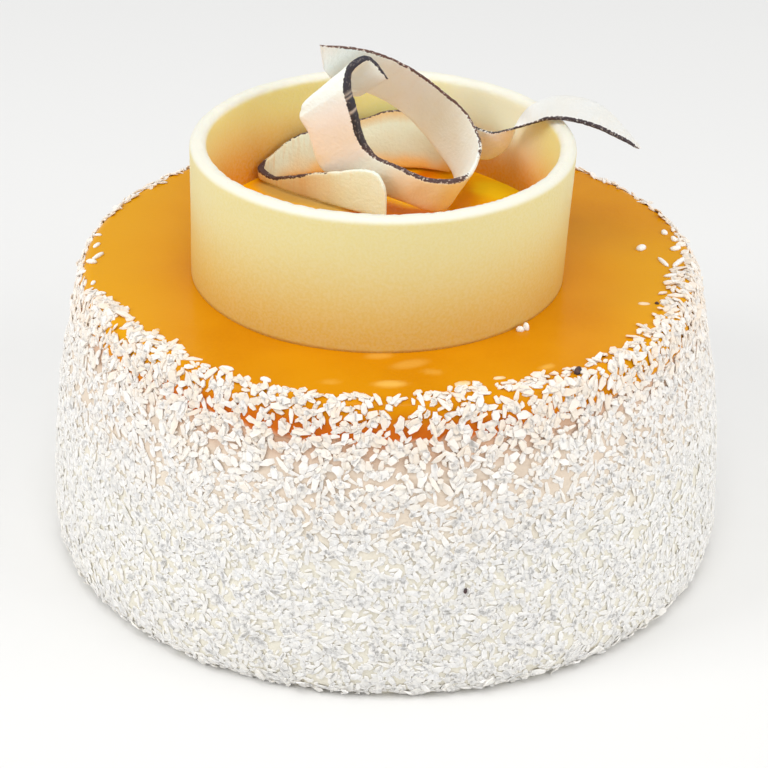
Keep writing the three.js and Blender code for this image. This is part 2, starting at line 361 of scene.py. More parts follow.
def remap(tree, value, low, high, new_low=0.0, new_high=1.0):
    """A value brought from one range to another with soft ends."""
    feeds = {"Value": value, "From Min": low, "From Max": high, "To Min": new_low, "To Max": new_high}
    return place_node(tree, "ShaderNodeMapRange", feeds, interpolation_type="SMOOTHSTEP").outputs[0]


def noise_value(tree, vector, scale, detail=3.0):
    """Noise from 0 to 1, as an output socket."""
    feeds = {"Vector": vector, "Scale": scale, "Detail": detail}
    return place_node(tree, "ShaderNodeTexNoise", feeds).outputs[0]


def surface_variation():
    """A shared group: broad mottling and fine speckle over a surface, each from 0 to 1."""
    name = "Surface variation"
    if name in bpy.data.node_groups:
        return bpy.data.node_groups[name]
    tree = bpy.data.node_groups.new(name, "ShaderNodeTree")
    tree.interface.new_socket("Vector", in_out="INPUT", socket_type="NodeSocketVector")
    for label in ("Mottle Scale", "Speckle Scale"):
        tree.interface.new_socket(label, in_out="INPUT", socket_type="NodeSocketFloat")
    for label in ("Mottle", "Speckle"):
        tree.interface.new_socket(label, in_out="OUTPUT", socket_type="NodeSocketFloat")
    given = place_node(tree, "NodeGroupInput").outputs
    mottle = noise_value(tree, given["Vector"], given["Mottle Scale"])
    speckle = noise_value(tree, given["Vector"], given["Speckle Scale"], detail=2.0)
    shown_range = (0.3, 0.7)
    place_node(tree, "NodeGroupOutput", {
        "Mottle": remap(tree, mottle, *shown_range),
        "Speckle": remap(tree, speckle, *shown_range),
    })
    return tree


class Finish:
    """A new material with its shader, its object coordinates and its shared variation."""

    def __init__(self, name, mottle, speckle, **values):
        self.material = bpy.data.materials.new(name)
        self.material.use_nodes = True
        self.tree = self.material.node_tree
        self.shader = self.tree.nodes["Principled BSDF"]
        for key, value in values.items():
            self.shader.inputs[key.replace("_", " ").title().replace("Ior", "IOR")].default_value = value
        self.place = place_node(self.tree, "ShaderNodeTexCoord").outputs["Object"]
        feeds = {"Vector": self.place, "Mottle Scale": mottle, "Speckle Scale": speckle}
        group = place_node(self.tree, "ShaderNodeGroup", feeds, node_tree=surface_variation())
        self.mottle, self.speckle = group.outputs["Mottle"], group.outputs["Speckle"]

    def height(self):
        """How high each point lies, in metres."""
        return place_node(self.tree, "ShaderNodeSeparateXYZ", {0: self.place}).outputs["Z"]

    def value(self, name):
        """A number that the mesh keeps at each point."""
        return place_node(self.tree, "ShaderNodeAttribute", attribute_name=name).outputs["Fac"]

    def span(self, value, low, high, new_low=0.0, new_high=1.0):
        return remap(self.tree, value, low, high, new_low, new_high)

    def times(self, first, second):
        return calculate(self.tree, "MULTIPLY", first, second)

    def blend(self, factor, first, second):
        """A colour between two colours, which are sockets or linear colours."""
        feeds = {0: factor}
        for key, value in ((6, first), (7, second)):
            feeds[key] = value if isinstance(value, NodeSocket) else (*value, 1.0)
        return place_node(self.tree, "ShaderNodeMix", feeds, data_type="RGBA").outputs[2]

    def paint(self, base, roughness=None, relief_depth=None, relief_strength=0.5):
        """Feeds the shader's colour and roughness, and a relief that follows the speckle."""
        self.tree.links.new(base, self.shader.inputs["Base Color"])
        if roughness is not None:
            self.tree.links.new(roughness, self.shader.inputs["Roughness"])
        if relief_depth is not None:
            feeds = {"Height": self.speckle, "Distance": relief_depth, "Strength": relief_strength}
            relief = place_node(self.tree, "ShaderNodeBump", feeds)
            self.tree.links.new(relief.outputs["Normal"], self.shader.inputs["Normal"])
        return self.material


# Materials

MOUSSE_DIM = 0.94
STAIN_RANGE = (0.3, 1.0)
GLAZE_SPECKLE = 0.3
# Painted shade: the run glaze turns deeper red-orange from 1 mm to 6 mm below the glaze top.
GLAZE_SHADE_FULL, GLAZE_SHADE_START = mm(6, 1)
RUN_FADE = (0.5, 1.0)
GLAZE_LIGHT_RISE = 28 * MM
# Height over which the painted orange light from the glaze fades up the ring.
CHOCOLATE_SPECKLE = 0.12
RIM_START, RIM_FULL = mm(1.8, 0.5)
FILLING_MOTTLE = 0.25
FLESH_CLOUD = 0.12
FIBRE_SCALE = 1300.0
FIBRE_RANGE = (0.45, 0.75)
FIBRE_REACH = 7 * MM
SKIN_RAGGED = 1.1 * MM
SKIN_RAGGED_SCALE = 1800.0
SKIN_SOFT_EDGE = 0.12 * MM
SKIN_MOTTLE = 0.15
SKIN_SCRAPED = 0.8
SKIN_CHIP_RANGE = (0.78, 0.95)


def mousse_finish(colours):
    finish = Finish("mousse_cream", mottle=90.0, speckle=700.0, roughness=0.7, specular_ior_level=0.25)
    cream = finish.blend(finish.mottle, colours.mousse, MOUSSE_DIM * colours.mousse)
    base = finish.blend(finish.value("soaked"), cream, colours.soaked_mousse)
    return finish.paint(base, relief_depth=0.3 * MM)


def flake_finish(colours):
    finish = Finish(
        "dried_coconut", mottle=120.0, speckle=1500.0, roughness=0.6, specular_ior_level=0.15,
        subsurface_weight=0.6, subsurface_radius=(1.0, 0.97, 0.92), subsurface_scale=0.5 * MM
    )
    tint = finish.value("tint")
    white = finish.blend(tint, colours.flake, colours.flake_shade)
    stain = finish.times(finish.value("soaked"), finish.span(tint, 0.0, 1.0, *STAIN_RANGE))
    base = finish.blend(stain, white, colours.soaked_flake)
    return finish.paint(base, relief_depth=0.1 * MM, relief_strength=0.3)


def soaked_flake_finish(colours):
    finish = Finish("soaked_coconut", mottle=300.0, speckle=1500.0, roughness=0.35, specular_ior_level=0.3)
    pale = 0.5 * (colours.sunk_flake + colours.flake)
    base = finish.blend(finish.mottle, pale, colours.sunk_flake)
    return finish.paint(base, relief_depth=0.1 * MM, relief_strength=0.3)


def skin_bit_finish(colours):
    finish = Finish("coconut_skin", mottle=900.0, speckle=2500.0, roughness=0.7, specular_ior_level=0.3)
    base = finish.blend(finish.mottle, colours.skin, colours.skin_brown)
    return finish.paint(base, relief_depth=0.15 * MM)


def glaze_finish(colours, sizes):
    finish = Finish("fruit_glaze", mottle=45.0, speckle=1100.0, specular_ior_level=0.06)
    deep = finish.blend(finish.mottle, colours.glaze, colours.glaze_deep)
    top = finish.blend(finish.times(finish.speckle, GLAZE_SPECKLE), deep, colours.glaze)
    # Painted light at the sides, held back at the back right to paint the ring's shadow there.
    side_lit = finish.blend(finish.value("thin"), top, colours.glaze_lit_sides)
    with_flakes = finish.blend(finish.value("sunk"), side_lit, colours.sunk_flake)
    # Painted shade: run glaze painted darker lower down among the flakes.
    full, start = sizes.glaze_top - GLAZE_SHADE_FULL, sizes.glaze_top - GLAZE_SHADE_START
    run_shade = finish.times(finish.span(finish.height(), full, start, 1.0, 0.0), finish.value("runny"))
    run = finish.blend(run_shade, with_flakes, colours.glaze_run)
    base = finish.blend(finish.span(finish.value("run_end"), *RUN_FADE), run, colours.soaked_mousse)
    roughness = finish.span(finish.speckle, 0.0, 1.0, 0.16, 0.24)
    return finish.paint(base, roughness, relief_depth=0.05 * MM, relief_strength=0.25)


def chocolate_finish(colours, sizes):
    finish = Finish(
        "white_chocolate", mottle=70.0, speckle=1600.0, specular_ior_level=0.3, subsurface_weight=0.2,
        subsurface_radius=(1.0, 0.8, 0.5), subsurface_scale=2 * MM
    )
    height = finish.height()
    # Painted light: orange light from the glaze, strongest at the ring's foot.
    rise = finish.span(height, sizes.glaze_top, sizes.glaze_top + GLAZE_LIGHT_RISE)
    wall = finish.blend(rise, colours.chocolate_glaze_lit, colours.chocolate)
    # Painted light: lighter, yellower lining inside the ring, paler at the back right where the key light
    # falls.
    painted_lining = finish.blend(finish.value("far"), colours.chocolate_inside_lit, colours.chocolate_far_lit)
    wall = finish.blend(finish.value("inside"), wall, painted_lining)
    # Painted light: orange glow from the filling on the wall just above it.
    wall = finish.blend(finish.value("glow"), wall, colours.chocolate_glow)
    rim = finish.span(height, sizes.ring_rim - RIM_START, sizes.ring_rim - RIM_FULL)
    wall = finish.blend(rim, wall, colours.chocolate_rim)
    base = finish.blend(finish.times(finish.speckle, CHOCOLATE_SPECKLE), wall, colours.chocolate_rim)
    roughness = finish.span(finish.mottle, 0.0, 1.0, 0.38, 0.52)
    return finish.paint(base, roughness, relief_depth=0.06 * MM, relief_strength=0.35)


def filling_finish(colours):
    finish = Finish("fruit_filling", mottle=60.0, speckle=800.0, specular_ior_level=0.08)
    # Yellow mottle plus the painted pool of light.
    yellow_and_lit = calculate(finish.tree, "MULTIPLY_ADD", finish.mottle, FILLING_MOTTLE, finish.value("yellow_and_lit"))
    pool = finish.blend(yellow_and_lit, colours.filling, colours.filling_yellow_and_lit)
    # Painted shade by the ribbons.
    pool = finish.blend(finish.value("deep"), pool, colours.filling_ribbon_shade)
    base = finish.blend(finish.value("flesh"), pool, colours.sunk_flesh)
    roughness = finish.span(finish.speckle, 0.0, 1.0, 0.08, 0.16)
    return finish.paint(base, roughness, relief_depth=0.1 * MM, relief_strength=0.3)


def flesh_base(finish, flesh_colour, colours):
    """The flesh of a ribbon: cloudy, painted lighter in places as painted light, streaked by fibres towards
    its skin, and soaked low down.
    """
    tree = finish.tree
    feeds = {"X": finish.value("run"), "Y": finish.value("fibre")}
    fibre_place = place_node(tree, "ShaderNodeCombineXYZ", feeds).outputs[0]
    fibres = finish.span(noise_value(tree, fibre_place, FIBRE_SCALE, detail=2.0), *FIBRE_RANGE)
    near_skin = finish.span(finish.value("skin_distance"), 0.0, FIBRE_REACH, 1.0, 0.1)
    streaks = finish.times(finish.times(fibres, near_skin), finish.value("fibrous"))
    cloudy = calculate(tree, "MULTIPLY_ADD", finish.mottle, FLESH_CLOUD, finish.value("blush"))
    # Painted light: flesh lightened where the ribbon's table says.
    flesh = finish.blend(finish.value("lit_share"), flesh_colour, colours.lit_flesh)
    flesh = finish.blend(cloudy, flesh, colours.flesh_streak)
    flesh = finish.blend(streaks, flesh, colours.flesh_streak)
    flesh = finish.blend(finish.value("soak"), flesh, colours.soaked_flesh)
    return finish.blend(finish.value("dip"), flesh, colours.filling)


def skin_base(finish, colours):
    """The skin of a ribbon: dark slate, brown where it is scraped, with pale chips."""
    tree = finish.tree
    scraped = calculate(tree, "SUBTRACT", SKIN_SCRAPED, finish.value("slate"))
    scraped = calculate(tree, "MAXIMUM", scraped, 0.0)
    dark = finish.blend(finish.times(finish.mottle, SKIN_MOTTLE), colours.skin, colours.skin_brown)
    skin = finish.blend(scraped, dark, colours.skin_brown)
    chip_share = finish.span(scraped, 0.0, SKIN_SCRAPED, 0.15, 0.8)
    chips = finish.times(finish.span(finish.speckle, *SKIN_CHIP_RANGE), chip_share)
    chips = calculate(tree, "MAXIMUM", chips, finish.value("chip"))
    return finish.blend(chips, skin, colours.skin_scratch)


def ribbon_finish(name, flesh_colour, colours):
    finish = Finish(
        name, mottle=120.0, speckle=1400.0, specular_ior_level=0.3, subsurface_weight=0.6,
        subsurface_radius=(1.0, 0.97, 0.94), subsurface_scale=1.2 * MM
    )
    tree = finish.tree
    uneven = noise_value(tree, finish.place, SKIN_RAGGED_SCALE)
    ragged = calculate(tree, "MULTIPLY_ADD", uneven, SKIN_RAGGED, -0.5 * SKIN_RAGGED)
    reach = calculate(tree, "ADD", finish.value("skin_reach"), ragged)
    margin = calculate(tree, "SUBTRACT", reach, finish.value("skin_distance"))
    mask = finish.span(margin, 0.0, SKIN_SOFT_EDGE)
    base = finish.blend(mask, flesh_base(finish, flesh_colour, colours), skin_base(finish, colours))
    roughness = finish.span(mask, 0.0, 1.0, 0.42, 0.7)
    return finish.paint(base, roughness, relief_depth=0.12 * MM, relief_strength=0.4)


# The mousse and its coat of flakes

COAT_SEGMENTS = 320
COAT_FULLER = 0.6 * MM
LUMP_SIZE, LUMP_DEPTH = mm(5.0, 0.35)
LUMP_FADE = 8 * MM
GRIT_SIZE, GRIT_DEPTH = mm(1.6, 0.15)
GLAZE_RUNS = (
    (-180, 0.2), (-150, 0.3), (-138, 0.6), (-125, 0.9), (-72, 0.9), (-60, 0.5), (-45, 0.25), (0, 0.2),
    (60, 0.8), (120, 0.8), (180, 0.2),
)
LONGEST_RUN = 0.9
SOAK_BELOW, SOAK_ABOVE = mm(11, 1)
FAINT_SOAK = 0.4
FAINT_BELOW, FAINT_FULL = mm(30, 8)
EDGE_CLEAR = 1 * MM


def fuller(rings):
    """The coat stands out a little more towards +X and less towards -X."""
    outward = outward_of(rings)
    return rings + COAT_FULLER * outward[..., :1] * outward


def run_depth(rings, sizes):
    """How far the glaze has run down the side at each point's angle."""
    return sizes.glaze_run * read_table(GLAZE_RUNS, degrees_round(rings))


def soaked_share(rings, sizes):
    """From 0 to 1, how much glaze has run into the coat at each point."""
    low = sizes.body_height - run_depth(rings, sizes)
    height = rings[..., 2] + grain(rings, 3.5 * MM, seed=13.0, depth=1.5 * MM)
    faint = FAINT_SOAK * smoothstep(low - FAINT_BELOW, low - FAINT_FULL, height)
    return np.maximum(smoothstep(low - SOAK_BELOW, low + SOAK_ABOVE, height), faint)


def coat_lumps(rings, sizes):
    """How far the coat's ground stands out in soft lumps, which end at the shoulder."""
    fade = smoothstep(sizes.body_height, sizes.body_height - LUMP_FADE, rings[..., 2])
    return fade * grain(rings, LUMP_SIZE, seed=3.0, depth=LUMP_DEPTH)


class CAKE_OT_mousse_body(Operator):
    """Builds the mousse under the coat, with an uneven side"""

    bl_idname = "cake.mousse_body"
    bl_label = "Mousse body"

    def execute(self, context):
        sizes = cake_sizes()
        side = side_profile(sizes, 90)
        base = disc_profile(side[0, 0], 0.0, 6, 0.15, 0.95)
        top = disc_profile(side[-1, 0], sizes.body_height, 6, 0.97, 0.1)
        rings = rings_of(np.vstack([base, side, top]), COAT_SEGMENTS)
        shown = rings[len(base) + 1:len(base) + len(side) - 1]
        grit = grain(shown, GRIT_SIZE, seed=7.0, depth=GRIT_DEPTH) - 0.5 * GRIT_DEPTH
        shown += outward_of(shown) * (coat_lumps(shown, sizes) + grit)[..., None]
        piece = turned_object("mousse_core", fuller(rings))
        point_values(piece, {"soaked": soaked_share(rings, sizes)}, ends=(0.0, 1.0))
        settle(piece, "coconut_coat", "mousse_body", finish=mousse_finish(cake_colours()))
        return {"FINISHED"}


COAT_EDGE = (
    (-180, 69.4), (-169, 69.0), (-163, 68.0), (-158, 66.6), (-155, 64.8), (-150, 64.4), (-145, 64.8),
    (-137, 64.3), (-131, 64.6), (-126, 66.0), (-104, 66.6), (-94, 66.2), (-82, 64.0), (-76, 63.2),
    (-68, 63.6), (-56, 64.8), (-41, 64.8), (-28, 64.1), (-22, 64.1), (-15, 63.4), (-7, 63.6), (0, 65.8),
    (5, 67.4), (14, 67.8), (30, 67.7), (155, 67.7), (165, 68.2), (173, 69.0), (180, 69.4),
)
COAT_EDGE_OUT, COAT_EDGE_IN = mm(0.7, 0.3)
FRONT_ANGLE = -93
FRONT_FULL, FRONT_NONE = 25, 52
RAISED_START, RAISED_START_SIDES, RAISED_BLEND = mm(44, 9, 13)
RAISED_SIDES, RAISED_LESS_FRONT = 1.5, 0.6
TOP_GAPS = 0.7
TOP_GAP_HEIGHTS = mm(1, 4)
TOP_GAP_RANGE = (0.05, 0.4)
FOOT_HEIGHTS = mm(0.2, 1.2)
FOOT_RAGGED = 0.6
FOOT_RAGGED_HEIGHTS = mm(5, 1.5)


def bare_share(rings, sizes):
    """From 0 to 1, how far each point lies inside the ragged inner limit of the flakes on the glaze."""
    inner = MM * read_table(COAT_EDGE, degrees_round(rings))
    radius = radius_of(rings) + grain(rings, 3.5 * MM, seed=11.0, depth=1.0 * MM)
    on_glaze = rings[..., 2] > sizes.body_height + EDGE_CLEAR
    return smoothstep(inner + COAT_EDGE_OUT, inner - COAT_EDGE_IN, radius) * on_glaze


def coat_covers(rings, sizes):
    """The shares of the flat and of the raised flakes that lie at each point of the coat."""
    height = rings[..., 2]
    facing = smoothstep(FRONT_NONE, FRONT_FULL, np.abs(degrees_round(rings) - FRONT_ANGLE))
    start = RAISED_START + RAISED_START_SIDES * (1 - facing)
    uneven = grain(rings, 5 * MM, seed=21.0, depth=2 * MM)
    upper = smoothstep(start, start + RAISED_BLEND, height + uneven)
    foot = smoothstep(*FOOT_HEIGHTS, height)
    on_top = smoothstep(*TOP_GAP_HEIGHTS, height - sizes.body_height)
    gaps = TOP_GAPS * on_top * smoothstep(*TOP_GAP_RANGE, grain(rings, 4 * MM, seed=29.0))
    crowding = RAISED_SIDES - RAISED_LESS_FRONT * facing
    raised = upper * (1 - bare_share(rings, sizes)) * crowding * (1 - gaps)
    ragged = FOOT_RAGGED * foot * smoothstep(*FOOT_RAGGED_HEIGHTS, height)
    return {"flat_cover": foot * (1 - upper), "raised_cover": raised + ragged}


def coat_ground(sizes):
    """The ground that the flakes lie on, from the foot of the side to the flat of the glaze."""
    start, end = (sizes.glaze_flat_radius - step for step in mm(0.4, 5))
    flat = disc_profile(1.0, sizes.glaze_top, 12, start, end)
    profile = np.vstack([side_profile(sizes, 70), glaze_edge_profile(sizes, 16)[1:], flat])
    rings = rings_of(profile, COAT_SEGMENTS)
    kept = {"soaked": soaked_share(rings, sizes), **coat_covers(rings, sizes)}
    rings += outward_of(rings) * coat_lumps(rings, sizes)[..., None]
    piece = turned_object("coat_ground", fuller(rings))
    point_values(piece, kept, ends=(0.0, 0.0))
    return piece


def seed_object(name, sections):
    """A small closed solid through sections with the same number of corners."""
    points = [point for section in sections for point in section]
    return new_object(name, points, lofted_faces(len(sections), len(sections[0])), smooth=False)


def chip_seed():
    """A flat six-sided chip of unit size."""
    reach = (0.5, 0.42, 0.5, 0.46, 0.38, 0.52)
    corners = [(r * math.cos(k * math.pi / 3), r * math.sin(k * math.pi / 3)) for k, r in enumerate(reach)]
    stations = ((-0.5, 1.0), (0.5, 0.8))
    return seed_object("chip_seed", [[(s * x, s * y, z) for x, y in corners] for z, s in stations])


def shred_seed():
    """A bent four-sided shred of unit size with one narrow end."""
    square = ((-0.5, -0.5), (0.5, -0.5), (0.5, 0.5), (-0.5, 0.5))
    stations = ((-0.5, 0.6, -0.2), (0.0, 1.0, 0.2), (0.5, 0.45, -0.15))
    sections = [[(x, s * y, s * z + lift) for y, z in square] for x, s, lift in stations]
    return seed_object("shred_seed", sections)


def crumb_seed():
    """A short blunt crumb of unit size."""
    square = ((-0.5, -0.3), (0.3, -0.5), (0.5, 0.3), (-0.3, 0.5))
    stations = ((-0.5, 0.55), (0.05, 1.0), (0.5, 0.6))
    return seed_object("crumb_seed", [[(x, s * y, s * z) for y, z in square] for x, s in stations])


FLAKE_WARP = 0.5 * MM
FLAKE_KINDS = {
    "coconut_chips": {
        "shape": chip_seed, "Cover": "flat_cover", "Density": 0.26e6, "Seed": 11, "Tilt": 0.06,
        "Lift": 0.15 * MM, "Smallest": mm(1.8, 1.1, 0.2), "Largest": mm(3.4, 2.2, 0.3),
    },
    "coconut_shreds": {
        "shape": shred_seed, "Cover": "flat_cover", "Density": 0.28e6, "Seed": 23, "Tilt": 0.08,
        "Lift": 0.2 * MM, "Smallest": mm(2.0, 0.7, 0.2), "Largest": mm(3.8, 1.4, 0.3),
    },
    "coconut_crumbs": {
        "shape": crumb_seed, "Cover": "flat_cover", "Density": 0.25e6, "Seed": 37, "Tilt": 0.25,
        "Lift": 0.15 * MM, "Smallest": mm(0.7, 0.5, 0.2), "Largest": mm(1.6, 1.1, 0.3),
    },
    "raised_chips": {
        "shape": chip_seed, "Cover": "raised_cover", "Density": 0.34e6, "Seed": 53, "Tilt": 0.3,
        "Lift": 0.4 * MM, "Smallest": mm(1.2, 0.8, 0.25), "Largest": mm(3.7, 2.5, 0.45),
    },
    "raised_shreds": {
        "shape": shred_seed, "Cover": "raised_cover", "Density": 0.27e6, "Seed": 41, "Tilt": 0.4,
        "Lift": 0.55 * MM, "Smallest": mm(1.5, 0.8, 0.3), "Largest": mm(4.2, 1.9, 0.5),
    },
}
SCATTER_INPUTS = {
    "Geometry": "Geometry", "Flake": "Object", "Cover": "String", "Density": "Float", "Seed": "Int",
    "Tilt": "Float", "Lift": "Float", "Smallest": "Vector", "Largest": "Vector", "Warp": "Float",
    "Material": "Material",
}
WARP_SCALE = 700.0
LOWEST = (-1.0, -1.0, 0.05 * MM)


def random_value(tree, low, high, seed, vector=False):
    """A value between two limits that differs from flake to flake."""
    least, most, made = (0, 1, 0) if vector else (2, 3, 1)
    kind = "FLOAT_VECTOR" if vector else "FLOAT"
    feeds = {least: low, most: high, "Seed": seed}
    return place_node(tree, "FunctionNodeRandomValue", feeds, data_type=kind).outputs[made]


def vector_sum(tree, operation, first, second):
    """The result of a sum with two vectors, or of scaling one."""
    feeds = {0: first, "Scale" if operation == "SCALE" else 1: second}
    return place_node(tree, "ShaderNodeVectorMath", feeds, operation=operation).outputs[0]


def moved(tree, geometry, **feeds):
    """Geometry at a new Position, or moved by an Offset."""
    return place_node(tree, "GeometryNodeSetPosition", {"Geometry": geometry, **feeds}).outputs[0]


def scattered_points(tree, given):
    """Points spread over the ground as its cover allows, lifted off it, and their rotations."""
    cover = place_node(
        tree, "GeometryNodeInputNamedAttribute", {"Name": given["Cover"]}, data_type="FLOAT"
    ).outputs[0]
    points = place_node(tree, "GeometryNodeDistributePointsOnFaces", {
        "Mesh": given["Geometry"], "Density": calculate(tree, "MULTIPLY", given["Density"], cover),
        "Seed": given["Seed"],
    }, distribute_method="RANDOM").outputs
    lift = random_value(tree, 0.0, given["Lift"], 1)
    lifted = moved(tree, points["Points"], Offset=vector_sum(tree, "SCALE", points["Normal"], lift))
    back_tilt = calculate(tree, "MULTIPLY", given["Tilt"], -1.0)
    least, most = (
        place_node(tree, "ShaderNodeCombineXYZ", {"X": tilt, "Y": tilt, "Z": turn}).outputs[0]
        for tilt, turn in ((back_tilt, 0.0), (given["Tilt"], 2 * math.pi))
    )
    angles = random_value(tree, least, most, 2, vector=True)
    turn = place_node(tree, "FunctionNodeEulerToRotation", {0: angles}).outputs[0]
    rotation = place_node(tree, "FunctionNodeRotateRotation", {
        "Rotation": points["Rotation"], "Rotate By": turn,
    }, rotation_space="LOCAL").outputs[0]
    return lifted, rotation


def flake_tree():
    """Geometry nodes that scatter one kind of flake over a surface and bend each one a little."""
    tree = bpy.data.node_groups.new("Flake scatter", "GeometryNodeTree")
    for label, kind in SCATTER_INPUTS.items():
        tree.interface.new_socket(label, in_out="INPUT", socket_type="NodeSocket" + kind)
    tree.interface.new_socket("Geometry", in_out="OUTPUT", socket_type="NodeSocketGeometry")
    given = place_node(tree, "NodeGroupInput").outputs
    points, rotation = scattered_points(tree, given)
    flake = place_node(tree, "GeometryNodeObjectInfo", {"Object": given["Flake"]}).outputs["Geometry"]
    flakes = place_node(tree, "GeometryNodeInstanceOnPoints", {
        "Points": points, "Instance": flake, "Rotation": rotation,
        "Scale": random_value(tree, given["Smallest"], given["Largest"], 3, vector=True),
    }).outputs[0]
    tinted = place_node(tree, "GeometryNodeStoreNamedAttribute", {
        "Geometry": flakes, "Name": "tint", "Value": random_value(tree, 0.0, 1.0, 4),
    }, data_type="FLOAT", domain="INSTANCE").outputs[0]
    real = place_node(tree, "GeometryNodeRealizeInstances", {"Geometry": tinted}).outputs[0]
    place = place_node(tree, "GeometryNodeInputPosition").outputs[0]
    feeds = {"Vector": place, "Scale": WARP_SCALE, "Detail": 1.0}
    swirl = place_node(tree, "ShaderNodeTexNoise", feeds).outputs[1]
    centred = vector_sum(tree, "SUBTRACT", swirl, (0.5, 0.5, 0.5))
    warped = moved(tree, real, Offset=vector_sum(tree, "SCALE", centred, given["Warp"]))
    stood = moved(tree, warped, Position=vector_sum(tree, "MAXIMUM", place, LOWEST))
    feeds = {"Geometry": stood, "Material": given["Material"]}
    dressed = place_node(tree, "GeometryNodeSetMaterial", feeds).outputs[0]
    place_node(tree, "NodeGroupOutput", {0: dressed})
    return tree


def scattered(name, ground, tree, values):
    """One kind of flake scattered over the ground, as a plain mesh."""
    piece = linked_object(name, ground.data.copy())
    modifier = piece.modifiers.new("Scatter", "NODES")
    modifier.node_group = tree
    for item in tree.interface.items_tree:
        if item.in_out == "INPUT" and item.name in values:
            modifier[item.identifier] = values[item.name]
    graph = bpy.context.evaluated_depsgraph_get()
    made = bpy.data.meshes.new_from_object(
        piece.evaluated_get(graph), preserve_all_data_layers=True, depsgraph=graph
    )
    piece.modifiers.clear()
    piece.data = made
    return piece


class CAKE_OT_coconut_coat(Operator):
    """Scatters the flakes over the side and the shoulder of the cake"""

    bl_idname = "cake.coconut_coat"
    bl_label = "Coconut coat"

    def execute(self, context):
        tree = flake_tree()
        finish = flake_finish(cake_colours())
        ground = coat_ground(cake_sizes())
        for name, kind in FLAKE_KINDS.items():
            flake = kind["shape"]()
            values = {**kind, "Flake": flake, "Material": finish, "Warp": FLAKE_WARP}
            piece = scattered(name, ground, tree, values)
            bpy.data.objects.remove(flake)
            if not piece.data.polygons:
                raise RuntimeError(f"{name}: no flakes were scattered")
            settle(piece, "coconut_coat", "mousse_body")
        bpy.data.objects.remove(ground)
        return {"FINISHED"}


# The glaze and what lies on it

class Flake(NamedTuple):
    """A flake at an angle and a radius, with half its sizes in millimetres and its turn in degrees."""

    angle: float
    radius: float
    size: tuple
    turn: float
    share: float = 1.0
    height: float = None


SUNK_FLAKES = (
    Flake(-89.0, 60.8, (3.4, 1.5), 4, share=0.75),
    Flake(-91.6, 48.7, (3.0, 1.4), 10, share=0.4),
    Flake(-84.4, 52.2, (4.2, 1.8), 24, share=0.35),
    Flake(-80.0, 56.0, (2.2, 1.2), -12, share=0.3),
    Flake(-100.5, 61.6, (2.0, 1.2), 0, share=0.25),
    Flake(-57.2, 61.9, (1.8, 1.1), 35, share=0.5),
)
SUNK_OUTER, SUNK_INNER = 1.3, 0.5
SUNK_RISE = 0.15 * MM
RUN_STEPS = np.linspace(1.0, 0.1, 9)
RUN_OUT, RUN_TOE_IN, RUN_UNDER_IN = mm(0.15, 0.6, 1.4)
SHORTEST_RUN = 0.6 * MM
TOP_LEVEL = 8 * MM
# Painted light and shadow on the glaze: lighter towards both sides, kept darker at the back right as the
# ring's shadow.
SIDE_LIGHT_START, SIDE_LIGHT_FULL = mm(34, 64)
SHADED_SHARE = 0.9
SHADED_ACROSS, SHADED_BACK = mm(0, 40), mm(-5, 30)


def sunk_share(points):
    """From 0 to 1, how clearly a flake under the glaze shows at each point."""
    shown = np.zeros(points.shape[:-1])
    for flake in SUNK_FLAKES:
        angle, turn = math.radians(flake.angle), math.radians(flake.turn)
        x = points[..., 0] / MM - flake.radius * math.cos(angle)
        y = points[..., 1] / MM - flake.radius * math.sin(angle)
        along = (x * math.cos(turn) + y * math.sin(turn)) / flake.size[0]
        across = (y * math.cos(turn) - x * math.sin(turn)) / flake.size[1]
        clear = flake.share * smoothstep(SUNK_OUTER, SUNK_INNER, np.hypot(along, across))
        shown = np.maximum(shown, clear)
    return shown


def run_rings(shares, offsets, depth, sizes):
    """Rings of the glaze that has run down over the shoulder, at their offsets from the coat's ground."""
    side = side_profile(sizes, 200)
    angles = np.linspace(0, 2 * math.pi, COAT_SEGMENTS, endpoint=False)
    height = sizes.body_height - shares[:, None] * depth
    radius = np.interp(height, side[:, 1], side[:, 0]) + np.asarray(offsets)[:, None]
    return np.stack([radius * np.cos(angles), radius * np.sin(angles), height], axis=2)


def side_light_share(rings):
    """From 0 to 1, how much painted light lightens the glaze: more to both sides, but not at the back right,
    which stays darker as the ring's painted shadow.
    """
    aside = np.abs(rings[..., 0]) + grain(rings, 20 * MM, seed=23.0, depth=5 * MM)
    shaded = smoothstep(*SHADED_ACROSS, rings[..., 0]) * smoothstep(*SHADED_BACK, rings[..., 1])
    return smoothstep(SIDE_LIGHT_START, SIDE_LIGHT_FULL, aside) * (1 - SHADED_SHARE * shaded)


